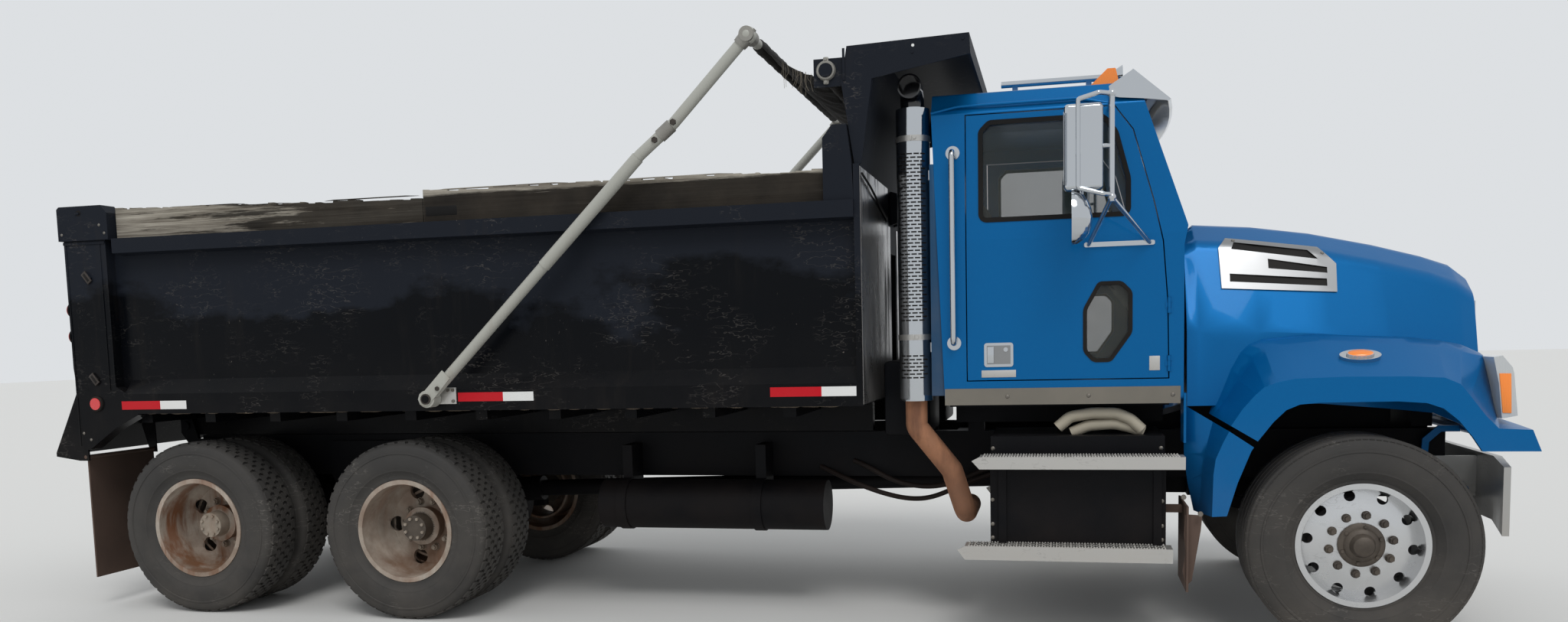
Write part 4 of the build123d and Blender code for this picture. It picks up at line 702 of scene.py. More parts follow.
@dataclass(frozen=True)
class Lens(Finish):
    """A moulded lamp lens with fine ribs inside."""

    def shade(self, tree: Tree, shader: bpy.types.Node) -> None:
        """A glossy, slightly lit plastic."""
        super().shade(tree, shader)
        shader.inputs["Coat Weight"].default_value = 1.0
        shader.inputs["Coat Roughness"].default_value = 0.03
        shader.inputs["Emission Color"].default_value = (*self.colour, 1.0)
        shader.inputs["Emission Strength"].default_value = 0.12

    def height(self, tree: Tree, effects: Effects) -> Any | None:
        """The ribs."""
        place = tree.axes()
        total = tree.plus(place["X"], place["Y"])
        return tree.math("SINE", tree.times(total, 900.0))


class Palette:
    """Every finish of the truck, built when it is first asked for."""

    def __init__(self) -> None:
        """Lists the finishes by name."""
        self.effects = Effects()
        self._made: dict[str, bpy.types.Material] = {}
        blue = tint(0, 94, 154)
        self.finishes: dict[str, Finish] = {each.name: each for each in (
            FlakePaint("blue paint", Slot.BLUE, blue, 0.36, 0.4, 0.12, 0.12, mottle=0.05,
                flake_colour=tint(0, 150, 205), dust=Dust(0.1, 0.3, 1.15, 0.03)),
            # A darker copy of the blue paint: painted shade, used for the cab's shaded rear corner.
            FlakePaint("blue jamb", Slot.BLUE, tint(0, 66, 104), 0.45, 0.4, 0.2, 0.3, mottle=0.1,
                flake_colour=tint(0, 100, 150), dust=Dust(0.25, 0.8, 2.6, 0.2)),
            BedPaint("bed paint", Slot.BED, tint(8, 10, 14), 0.26, specular=0.09, mottle=0.18, wear=0.3,
                wear_width=0.005, wear_colour=tint(66, 60, 55), streaks=0.14, streak_colour=tint(58, 52, 46),
                scuffs=0.4, scuff_colour=tint(96, 92, 88), bump=0.0004, bump_scale=30.0,
                dust=Dust(0.14, 0.7, 1.7, 0.3, tint(74, 66, 58))),
            Finish("frame paint", Slot.FRAME, tint(12, 14, 18), 0.5, specular=0.1, mottle=0.25, wear=0.2,
                wear_colour=tint(70, 60, 52), bump=0.0004, bump_scale=120.0, dust=Dust(0.26, 0.1, 1.3, 0.35,
                tint(66, 54, 45))),
            Finish("gloss black", Slot.FRAME, tint(18, 19, 23), 0.16, coat=0.6, mottle=0.1,
                dust=Dust(0.14, 0.5, 1.4, colour=tint(110, 100, 90))),
            Finish("arm paint", Slot.ARM, tint(166, 166, 158), 0.42, mottle=0.06, wear=0.25, streaks=0.25,
                streak_colour=tint(120, 90, 66), dust=Dust(0.12, 1.0, 3.0)),
            Finish("cast joint", Slot.ARM, tint(142, 140, 134), 0.5, 0.5, mottle=0.25, mottle_scale=14.0, bump=0.0006,
                bump_scale=140.0, dust=Dust(0.3, 1.0, 3.4)),
            Finish("chrome", Slot.CHROME, tint(196, 200, 204), 0.1, 1.0, mottle=0.04, dust=Dust(0.06, 0.5, 3.2)),
            Finish("smoked sheet", Slot.CHROME, tint(150, 148, 146), 0.2, 1.0, mottle=0.3, mottle_scale=1.6,
                streaks=0.8, streak_colour=tint(36, 34, 33), streak_start=0.47, bump=0.0015, bump_scale=7.0,
                dust=Dust(0.3, 0.9, 2.6, colour=tint(88, 78, 70))),
            Finish("satin trim", Slot.CHROME, tint(150, 151, 152), 0.3, 1.0, mottle=0.08, dust=Dust(0.1, 0.8, 2.6)),
            Finish("stainless sill", Slot.CHROME, tint(128, 124, 116), 0.34, 1.0, mottle=0.2, scuffs=0.4,
                dust=Dust(0.35, 0.9, 1.5, colour=tint(140, 126, 108))),
            Finish("bumper steel", Slot.BUMPER, tint(178, 178, 176), 0.32, 0.9, mottle=0.1, scuffs=0.4,
                dust=Dust(0.4, 0.5, 1.0)),
            Finish("polished rim", Slot.ALLOY_RIM, tint(208, 209, 210), 0.24, 1.0, mottle=0.08, scuffs=0.3,
                scuff_colour=tint(140, 138, 134), dust=Dust(0.18, 0.1, 0.9)),
            Finish("steel rim", Slot.STEEL_RIM, tint(182, 174, 162), 0.55, specular=0.3, mottle=0.35,
                mottle_scale=9.0, wear=0.6, wear_colour=RUST, streaks=0.95, streak_colour=tint(124, 74, 42),
                streak_start=0.41, bump=0.0008, bump_scale=70.0, dust=Dust(0.95, 0.2, 1.3, colour=tint(104, 74, 52))),
            Finish("hub iron", Slot.FRAME, tint(66, 60, 56), 0.5, 0.6, mottle=0.35, mottle_scale=20.0, bump=0.0005,
                bump_scale=150.0, dust=Dust(0.5, 0.1, 1.0)),
            Finish("dirty hub", Slot.STEEL_RIM, tint(150, 140, 128), 0.75, 0.2, mottle=0.35, mottle_scale=14.0,
                streaks=0.5, streak_start=0.48, bump=0.0006, bump_scale=120.0, dust=Dust(0.6, 0.0, 1.2)),
            Finish("worn bolt", Slot.ALLOY, tint(120, 116, 110), 0.45, 0.8, mottle=0.3, mottle_scale=30.0,
                dust=Dust(0.3, 0.3, 2.0)),
            Finish("bare alloy", Slot.ALLOY, tint(196, 194, 190), 0.4, 0.9, mottle=0.12, scuffs=0.5,
                scuff_colour=tint(120, 118, 114), dust=Dust(0.25, 0.3, 1.2)),
            Finish("rusty pipe", Slot.RUSTY, tint(158, 108, 78), 0.85, mottle=0.35, mottle_scale=6.0, streaks=0.7,
                streak_colour=tint(86, 50, 34), streak_start=0.45, bump=0.0012, bump_scale=45.0, dust=Dust(0.3)),
            Finish("tyre rubber", Slot.TYRE, tint(52, 51, 50), 0.72, specular=0.3, mottle=0.25, scuffs=0.7,
                scuff_colour=tint(104, 100, 95), bump=0.0006, bump_scale=90.0, dust=Dust(0.5, -0.6, 1.3, 0.12,
                tint(112, 104, 95))),
            Finish("flap rubber", Slot.RUBBER, tint(84, 68, 60), 0.7, specular=0.3, mottle=0.3, bump=0.0006,
                bump_scale=50.0, dust=Dust(0.45, 0.1, 1.1, colour=tint(92, 74, 62))),
            Finish("scoured steel", Slot.BED, tint(92, 84, 77), 0.5, 0.5, mottle=0.3, mottle_scale=1.6, streaks=0.4,
                scuffs=0.7, scuff_colour=tint(150, 146, 140), bump=0.0006, bump_scale=40.0,
                dust=Dust(0.35, 0.5, 2.4, colour=tint(104, 88, 72))),
            Finish("hose rubber", Slot.RUBBER, tint(24, 20, 18), 0.6, specular=0.2, mottle=0.25, bump=0.0004,
                bump_scale=160.0, dust=Dust(0.5, 0.2, 1.2, colour=tint(70, 52, 44))),
            Finish("moulded black", Slot.RUBBER, tint(26, 26, 27), 0.42, mottle=0.1, bump=0.0002, bump_scale=400.0,
                dust=Dust(0.2, 0.8, 2.6)),
            Finish("loose thread", Slot.MESH, tint(120, 112, 100), 0.9, mottle=0.3),
            Finish("caked dirt", Slot.BED, tint(96, 84, 70), 0.95, mottle=0.35, mottle_scale=20.0, bump=0.001,
                bump_scale=60.0),
            # Black rubber; the same finish also serves as painted shade in holes and slots.
            Finish("seal rubber", Slot.RUBBER, tint(14, 14, 15), 0.5, specular=0.15, mottle=0.1,
                dust=Dust(0.06, 0.8, 3.0)),
            Board("weathered boards", Slot.WOOD, tint(120, 108, 92), 0.85, specular=0.0, bump=0.001,
                dust=Dust(0.25, 1.0, 3.0)),
            Weave("tarp mesh", Slot.MESH, tint(30, 29, 29), 0.85, bump=0.0006, thread=0.004,
                dust=Dust(0.25, 2.0, 3.3)),
            Weave("seat cloth", Slot.SEAT, tint(52, 53, 58), 0.9, bump=0.0004, thread=0.003),
            Finish("dash plastic", Slot.DASH, tint(48, 48, 50), 0.6, bump=0.0003, bump_scale=400.0),
            Finish("pale duct", Slot.DASH, tint(176, 168, 150), 0.6, mottle=0.15, mottle_scale=8.0, bump=0.0004,
                bump_scale=90.0, dust=Dust(0.4, 0.7, 1.6)),
            Glass("window glass", Slot.GLASS, tint(40, 52, 50), 0.04),
            Lens("amber lens", Slot.AMBER, tint(240, 128, 18), 0.2, bump=0.0004),
            Lens("lamp lens", Slot.LAMP, tint(178, 181, 182), 0.12, bump=0.0004),
            Lens("red lens", Slot.RED, tint(196, 30, 34), 0.25, bump=0.0004),
            Finish("red tape", Slot.RED, tint(190, 8, 30), 0.4, specular=0.15, mottle=0.05, bump=0.0002,
                bump_scale=500.0, dust=Dust(0.12, 0.8, 1.8)),
            # White tape; the same finish also serves as painted sky light in the shield's holes.
            Finish("white tape", Slot.LAMP, tint(226, 226, 224), 0.35, mottle=0.05, bump=0.0002, bump_scale=500.0,
                dust=Dust(0.2, 0.8, 1.8)),
        )}

    def __getitem__(self, name: str) -> bpy.types.Material:
        """The material of a finish, by the finish's name."""
        if name not in self._made:
            self._made[name] = self.finishes[name].make(self.effects)
        return self._made[name]

    def slot(self, name: str) -> Slot:
        """The slot that a finish belongs to."""
        return self.finishes[name].slot


SLOT_FINISH = {
    Slot.BLUE: "blue paint", Slot.BED: "bed paint", Slot.FRAME: "frame paint", Slot.ARM: "arm paint",
    Slot.CHROME: "chrome", Slot.BUMPER: "bumper steel", Slot.ALLOY_RIM: "polished rim",
    Slot.STEEL_RIM: "steel rim", Slot.ALLOY: "bare alloy", Slot.RUSTY: "rusty pipe",
    Slot.TYRE: "tyre rubber", Slot.RUBBER: "flap rubber", Slot.WOOD: "weathered boards",
    Slot.MESH: "tarp mesh", Slot.SEAT: "seat cloth", Slot.DASH: "dash plastic",
    Slot.GLASS: "window glass", Slot.AMBER: "amber lens", Slot.LAMP: "lamp lens",
    Slot.RED: "red lens",
}


class Facing(Enum):
    """Which way a plate's outline is seen: the two axes of the outline, then its thickness."""

    SIDE = (0, 2, 1)
    FRONT = (1, 2, 0)
    TOP = (0, 1, 2)


class Shape:
    """A piece's mesh while bmesh operators build it."""

    def __init__(self, name: str) -> None:
        """Starts an empty mesh."""
        self.name = name
        self.mesh = bmesh.new()

    def box(self, low: Place, high: Place, bevel: float = 0.0) -> list[Any]:
        """A block between two corners.

        Args:
            low: Its lowest corner.
            high: Its highest corner.
            bevel: How far its edges are rounded.

        Returns:
            Its vertices.
        """
        middle = Vector([(a + b) / 2 for a, b in zip(low, high)])
        size = [abs(b - a) for a, b in zip(low, high)]
        place = Matrix.Translation(middle) @ Matrix.Diagonal((*size, 1.0))
        made = bmesh.ops.create_cube(self.mesh, size=1.0, matrix=place)["verts"]
        return self.round_edges(made, bevel) if bevel else made

    def block(self, side: Side, along: Pair, across: Pair, up: Pair, bevel: float = 0.0) -> list[Any]:
        """A block on one side of the truck.

        Args:
            side: The truck's side.
            along: Its rear and front, in mm ahead of the front axle.
            across: Its inner and outer face, in metres from the truck's middle.
            up: Its lower and upper face, in metres.
            bevel: How far its edges are rounded.

        Returns:
            Its vertices.
        """
        low, high = zip(map(at, along), side.span(*across), up)
        return self.box(low, high, bevel)

    def round_edges(self, verts: Sequence[Any], amount: float, segments: int = 2) -> list[Any]:
        """Rounds the edges among some vertices, and returns the vertices after it."""
        edges = list({edge for vert in verts for edge in vert.link_edges})
        made = self._bevel(edges, amount, "EDGES", segments)
        return list({vert for face in made["faces"] for vert in face.verts})

    def _bevel(self, parts: Sequence[Any], amount: float, affect: str, segments: int) -> dict[str, Any]:
        """Bevels some edges or vertices, and returns what that made."""
        return bmesh.ops.bevel(self.mesh, geom=parts, offset=amount, offset_type="OFFSET", affect=affect,
            segments=segments, profile=0.5, material=-1, clamp_overlap=True)

    def _corners(self, outline: Outline, facing: Facing, level: float) -> list[Any]:
        """New vertices along an outline at one level."""
        first, second, deep = facing.value
        corners = []
        for a, b in outline:
            place = [0.0, 0.0, 0.0]
            place[first], place[second], place[deep] = a, b, level
            corners.append(self.mesh.verts.new(place))
        return corners

    def _thicken(self, faces: Sequence[Any], facing: Facing, rise: float) -> list[Any]:
        """Extrudes flat faces, and returns the vertices that moved."""
        grown = bmesh.ops.extrude_face_region(self.mesh, geom=faces)["geom"]
        moved = [each for each in grown if isinstance(each, bmesh.types.BMVert)]
        shift = [0.0, 0.0, 0.0]
        shift[facing.value[2]] = rise
        bmesh.ops.translate(self.mesh, verts=moved, vec=shift)
        return moved

    def band(self, outline: Outline, facing: Facing, low: float, high: float, width: float,
            corner: float = 0.0) -> list[Any]:
        """A flat frame that follows an outline on its inside.

        Args:
            outline: Its outer corners in order.
            facing: The way that the outline is seen.
            low, high: Where its two faces are.
            width: The frame's width.
            corner: How far its corners are rounded.

        Returns:
            Its vertices.
        """
        corners = self._corners(outline, facing, low)
        self.mesh.faces.new(corners)
        if corner:
            corners = self._bevel(corners, corner, "VERTICES", 4)["verts"]
        face = next(each for each in corners[0].link_faces)
        ring = bmesh.ops.inset_region(self.mesh, faces=[face], thickness=width, use_even_offset=True,
            use_boundary=True)["faces"]
        bmesh.ops.delete(self.mesh, geom=[face], context="FACES_ONLY")
        moved = self._thicken(ring, facing, high - low)
        faces = {each for vert in moved for each in vert.link_faces}
        verts = {vert for each in faces for vert in each.verts}
        faces |= {each for vert in verts for each in vert.link_faces}
        bmesh.ops.recalc_face_normals(self.mesh, faces=list(faces))
        return list({vert for each in faces for vert in each.verts})

    def keep(self, wanted: Callable[[Vector], bool]) -> None:
        """Drops every face whose middle isn't wanted."""
        rest = [face for face in self.mesh.faces if not wanted(face.calc_center_median())]
        bmesh.ops.delete(self.mesh, geom=rest, context="FACES")

    def cut_off(self, name: str, point: Place, normal: Place) -> "Shape":
        """Cuts the shape with a plane and keeps what is behind it.

        Args:
            name: The name of the part before the plane.
            point, normal: The plane.

        Returns:
            The part before the plane.
        """
        other = Shape(name)
        other.mesh = self.mesh.copy()
        for shape, before in ((self, False), (other, True)):
            everything = [*shape.mesh.verts, *shape.mesh.edges, *shape.mesh.faces]
            bmesh.ops.bisect_plane(shape.mesh, geom=everything, plane_co=Vector(point), plane_no=Vector(normal),
                clear_outer=not before, clear_inner=before)
            bmesh.ops.holes_fill(shape.mesh, edges=[edge for edge in shape.mesh.edges if edge.is_boundary])
        return other

    def rod(self, start: Place, end: Place, radius: float, sides: int = 20, end_radius: float | None = None,
            turned: float = 0.0) -> list[Any]:
        """A round or many-sided bar.

        Args:
            start, end: The middles of its two ends.
            radius: Its radius at the start.
            sides: Its number of sides.
            end_radius: Its radius at the end, where it tapers.
            turned: How far it is turned about itself, in radians.

        Returns:
            Its vertices.
        """
        first, last = Vector(start), Vector(end)
        line = last - first
        turn = line.to_track_quat("Z", "Y").to_matrix().to_4x4() @ Matrix.Rotation(turned, 4, "Z")
        place = Matrix.Translation((first + last) / 2) @ turn
        made = bmesh.ops.create_cone(self.mesh, cap_ends=True, segments=sides, radius1=radius,
            radius2=radius if end_radius is None else end_radius, depth=line.length, matrix=place)
        return made["verts"]

    def pin(self, side: Side, distance: float, z: float, inner: float, outer: float, radius: float,
            sides: int) -> list[Any]:
        """A bar straight across the truck, from one distance from its middle to another."""
        x = at(distance)
        return self.rod((x, side.value * inner, z), (x, side.value * outer, z), radius, sides)

    def ball(self, centre: Place, size: Place, rings: int = 10) -> list[Any]:
        """An egg shape with three half sizes."""
        place = Matrix.Translation(Vector(centre)) @ Matrix.Diagonal((*size, 1.0))
        return bmesh.ops.create_uvsphere(self.mesh, u_segments=2 * rings, v_segments=rings, radius=1.0,
            matrix=place)["verts"]

    def plate(self, outline: Outline, facing: Facing, low: float, high: float, bevel: float = 0.0) -> list[Any]:
        """A flat plate with an outline.

        Args:
            outline: Its corners in order.
            facing: The way that the outline is seen.
            low, high: Where its two faces are.
            bevel: How far its edges are rounded.

        Returns:
            Its vertices.
        """
        corners = self._corners(outline, facing, low)
        moved = self._thicken([self.mesh.faces.new(corners)], facing, high - low)
        faces = list({f for vert in corners + moved for f in vert.link_faces})
        bmesh.ops.recalc_face_normals(self.mesh, faces=faces)
        verts = corners + moved
        return self.round_edges(verts, bevel) if bevel else verts

    def panel(self, side: Side, corners: Outline, inner: float, outer: float, bevel: float = 0.0) -> None:
        """An upright plate on one side, its corners in mm and its faces' places in metres."""
        self.plate(ahead(*corners), Facing.SIDE, *side.span(inner, outer), bevel)

    def turn(self, profile: Outline, centre: Place, axis: Place, steps: int = 64, closed: bool = True) -> list[Any]:
        """A turned shape.

        Args:
            profile: Corners as radius and distance along the axis.
            centre: A point on the axis, where that distance is 0.
            axis: The axis's direction.
            steps: How many facets go round.
            closed: Whether the profile is a ring of corners or an open line.

        Returns:
            Its vertices.
        """
        middle, line = Vector(centre), Vector(axis).normalized()
        out = UP.copy() if abs(line.z) < 0.9 else Vector((1.0, 0.0, 0.0))
        out = (out - line * out.dot(line)).normalized()
        corners = [self.mesh.verts.new(middle + out * radius + line * along) for radius, along in profile]
        pairs = list(zip(corners, corners[1:] + corners[:1] if closed else corners[1:]))
        edges = [self.mesh.edges.new(pair) for pair in pairs]
        before = set(self.mesh.verts) - set(corners)
        bmesh.ops.spin(self.mesh, geom=corners + edges, cent=middle, axis=line, angle=math.tau, steps=steps,
            use_merge=True, use_duplicate=False)
        made = [vert for vert in self.mesh.verts if vert not in before]
        made_faces = list({face for vert in made for face in vert.link_faces})
        bmesh.ops.remove_doubles(self.mesh, verts=made, dist=1e-6)
        bmesh.ops.recalc_face_normals(self.mesh, faces=[face for face in made_faces if face.is_valid])
        return [vert for vert in self.mesh.verts if vert not in before]

    def tube(self, points: Sequence[Place], radius: float, bend: float = 0.0, sides: int = 6,
            smooth: int = 5) -> None:
        """A round tube along straight runs with rounded corners.

        Args:
            points: The corners of its middle line.
            radius: Its outer radius.
            bend: How far before and after each corner the bend starts.
            sides: How finely its roundness is cut.
            smooth: How finely each bend is cut.
        """
        path = [Vector(point) for point in points]
        route = [path[0]]
        for before, corner, after in zip(path, path[1:], path[2:]):
            for other in (before, after):
                reach = min(bend, (other - corner).length * 0.49)
                route.append(corner + (other - corner).normalized() * reach)
                if other is before:
                    route.append(corner)
        route.append(path[-1])
        line = round_line(self.name + "_line", route, radius, sides, smooth)
        holder = add_object(line.name, line)
        bpy.context.view_layer.update()
        drawn = bpy.data.meshes.new_from_object(holder.evaluated_get(bpy.context.evaluated_depsgraph_get()))
        self.mesh.from_mesh(drawn)
        bpy.data.meshes.remove(drawn)
        bpy.data.objects.remove(holder)
        bpy.data.curves.remove(line)

    def turned_by(self, verts: Sequence[Any], angle: float, axis: Place, centre: Place) -> None:
        """Turns some vertices about an axis through a point."""
        bmesh.ops.rotate(self.mesh, verts=list(verts), cent=Vector(centre), matrix=Matrix.Rotation(angle, 3,
            Vector(axis)))

    def finish(self, truck: "Truck", body: str | None, finish: str, replaces: Sequence[str] = (),
            crease: float = 40.0) -> bpy.types.Object:
        """Makes the object, dresses it and puts it on its body.

        Args:
            truck: The truck that the piece belongs to.
            body: The CAD body that it rides on, or a node of that body, or None where it spans two bodies and is put
                on neither.
            finish: The name of its finish.
            replaces: The CAD nodes that it stands for.
            crease: The angle in degrees above which an edge looks sharp.

        Returns:
            The object.
        """
        body = truck.body.get(body, body)
        data = bpy.data.meshes.new(self.name)
        self.mesh.normal_update()
        for face in self.mesh.faces:
            face.smooth = True
        for edge in self.mesh.edges:
            if len(edge.link_faces) == 2:
                edge.smooth = edge.calc_face_angle(0.0) < math.radians(crease)
        self.mesh.to_mesh(data)
        self.mesh.free()
        if "custom_normal" in data.attributes:
            data.attributes.remove(data.attributes["custom_normal"])
        piece = add_object(self.name, data)
        data.materials.append(truck.palette[finish])
        truck.palette.slot(finish).value
        if body is not None:
            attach(piece, body)
        if replaces:
            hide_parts(*replaces)
        log.info("%s: %d faces on %s", self.name, len(data.polygons), body)
        return piece


class Truck:
    """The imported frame, its palette and the pieces that are added to it."""

    join_gap = 2e-5
    shortest_edge = 1e-6

    def __init__(self) -> None:
        """Loads the frame and gives every node its finish."""
        self.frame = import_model()
        self.cad_box = [list(corner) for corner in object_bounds()]
        self.palette = Palette()
        record = self.frame["record"]
        self.slots = {each["node"]: Slot(each["material_slot"]) for each in record["subparts"]}
        self.body = {node: body for body, nodes in record["behaviour"]["bodies"].items() for node in nodes}
        for name, node in self.frame["nodes"].items():
            self.paint(node, SLOT_FINISH[self.slots[name]])

    def paint(self, piece: bpy.types.Object, finish: str) -> None:
        """Gives one object a single finish."""
        piece.data.materials.clear()
        piece.data.materials.append(self.palette[finish])

    def copy(self, name: str, node: str) -> Shape:
        """A joined-up copy of a CAD node's mesh, ready for smooth shading."""
        shape = Shape(name)
        shape.mesh.from_mesh(self.frame["nodes"][node].data)
        bmesh.ops.remove_doubles(shape.mesh, verts=shape.mesh.verts, dist=self.join_gap)
        bmesh.ops.dissolve_degenerate(shape.mesh, edges=shape.mesh.edges, dist=self.shortest_edge)
        return shape

    def split(self, node: str, wanted: Callable[[Vector], bool], *parts: tuple[str, str, float]) -> None:
        """Two copies that share out a CAD node's faces and stand for it.

        Args:
            node: The node.
            wanted: Whether the first part takes a face, by the face's middle.
            parts: Each part's name, finish and crease.
        """
        for number, (name, finish, crease) in enumerate(parts):
            skin = self.copy(name, node)
            skin.keep(lambda middle: wanted(middle) == (number == 0))
            skin.finish(self, node, finish, () if number else (node,), crease)


@dataclass
class Tyre:
    """One tyre's sizes, and how its rubber and tread are cut."""

    radius: float
    width: float
    bead: float = 0.105
    seat: float = 0.28575
    groove_depth: float = 0.012
    pitches: int = 54
    rows: tuple[float, ...] = ()
    grooves: tuple[float, ...] = ()
    groove_width: float = 0.011
    phase: float = 0.0
    made: bpy.types.Mesh | None = None

    def outline(self) -> list[Pair]:
        """The section's corners as radius and distance outwards, from one bead to the other."""
        half = self.width / 2
        side = [(self.seat, -self.bead), (self.seat + 0.010, -self.bead - 0.004),
            (self.seat + 0.021, -self.bead - 0.010), (self.seat + 0.029, -self.bead - 0.009),
            (self.seat + 0.040, -half + 0.022), (self.seat + 0.062, -half + 0.009),
            (self.seat + 0.066, -half + 0.005), (self.seat + 0.074, -half + 0.005),
            (self.seat + 0.078, -half + 0.003), (self.seat + 0.105, -half),
            (self.seat + 0.135, -half + 0.001), (self.seat + 0.160, -half + 0.006),
            (self.seat + 0.163, -half + 0.003), (self.seat + 0.170, -half + 0.004),
            (self.seat + 0.173, -half + 0.008)]
        crown = [(self.radius - 0.034, -half + 0.012), (self.radius - 0.020, -half + 0.022)]
        tread_edge = half - 0.036
        top = self.radius - (self.groove_depth if self.rows else 0.0)
        tread = [(top - 0.005, -tread_edge - 0.006), (top, -tread_edge)]
        for middle in self.grooves:
            low, wide = self.radius - self.groove_depth, self.groove_width / 2
            tread += [(top, middle - wide), (low, middle - wide * 0.6), (low, middle + wide * 0.6),
                (top, middle + wide)]
        tread += [(top, tread_edge), (top - 0.005, tread_edge + 0.006)]
        return side + crown + tread + [(r, -out) for r, out in reversed(side + crown)]

    def add_to(self, shape: Shape, centre: Point, outward: int) -> None:
        """Adds a copy of the tyre to a shape.

        Args:
            shape: The shape that takes it.
            centre: The wheel's middle.
            outward: Which way the wheel's outer face looks along Y.
        """
        if self.made is None:
            first = Shape("tyre")
            first.turn(self.outline(), (0.0, 0.0, 0.0), (0.0, 1.0, 0.0), steps=96)
            (self._blocks if self.rows else self._sipes)(first)
            self.made = bpy.data.meshes.new("tyre")
            first.mesh.to_mesh(self.made)
            first.mesh.free()
        before = len(shape.mesh.verts)
        shape.mesh.from_mesh(self.made)
        shape.mesh.verts.ensure_lookup_table()
        turn = Matrix.Rotation(math.pi if outward < 0 else 0.0, 4, "Z") @ Matrix.Rotation(self.phase, 4, "Y")
        bmesh.ops.transform(shape.mesh, matrix=Matrix.Translation(centre) @ turn, verts=shape.mesh.verts[before:])

    def _blocks(self, shape: Shape) -> None:
        """Tread blocks in rows across the crown, each row half a pitch from the next."""
        step = math.tau / self.pitches
        length = step * self.radius
        base, top = self.radius - self.groove_depth - 0.004, self.radius - 0.0005
        row_width = self.rows[1] - self.rows[0] if len(self.rows) > 1 else 0.03
        for number, middle in enumerate(self.rows):
            edge_row = number in (0, len(self.rows) - 1)
            wide = row_width * (0.45 if not edge_row else 0.47)
            for pitch in range(self.pitches):
                angle = (pitch + 0.5 * (number % 2)) * step
                nose = length * 0.10
                half = length * 0.40
                outline = [(-half, -wide), (half - nose, -wide), (half + nose * 0.6, 0.0), (half - nose, wide),
                    (-half, wide), (-half + nose * 1.2, 0.0)]
                verts = shape.plate(outline, Facing.TOP, base, top)
                if edge_row:
                    drop = -1 if middle < 0 else 1
                    for vert in verts:
                        if vert.co.y * drop > 0 and vert.co.z > base + 1e-4:
                            vert.co.z -= 0.004
                turn = Matrix.Rotation(angle, 4, "Y") @ Matrix.Translation((0.0, middle, 0.0))
                bmesh.ops.transform(shape.mesh, matrix=turn, verts=verts)

    def _sipes(self, shape: Shape) -> None:
        """Small raised bars round both shoulders, as worn ribs show."""
        step = math.tau / (self.pitches * 2)
        edge = self.width / 2 - 0.034
        for side in (-1, 1):
            for pitch in range(self.pitches * 2):
                verts = shape.box((-0.011, -0.012, self.radius - 0.014), (0.011, 0.012, self.radius - 0.003))
                lean = Matrix.Rotation(-side * 0.55, 4, "X")
                turn = Matrix.Rotation(pitch * step, 4, "Y") \
                    @ Matrix.Translation((0.0, side * edge, self.radius - 0.013)) @ lean \
                    @ Matrix.Translation((0.0, 0.0, -self.radius + 0.009))
                bmesh.ops.transform(shape.mesh, matrix=turn, verts=verts)


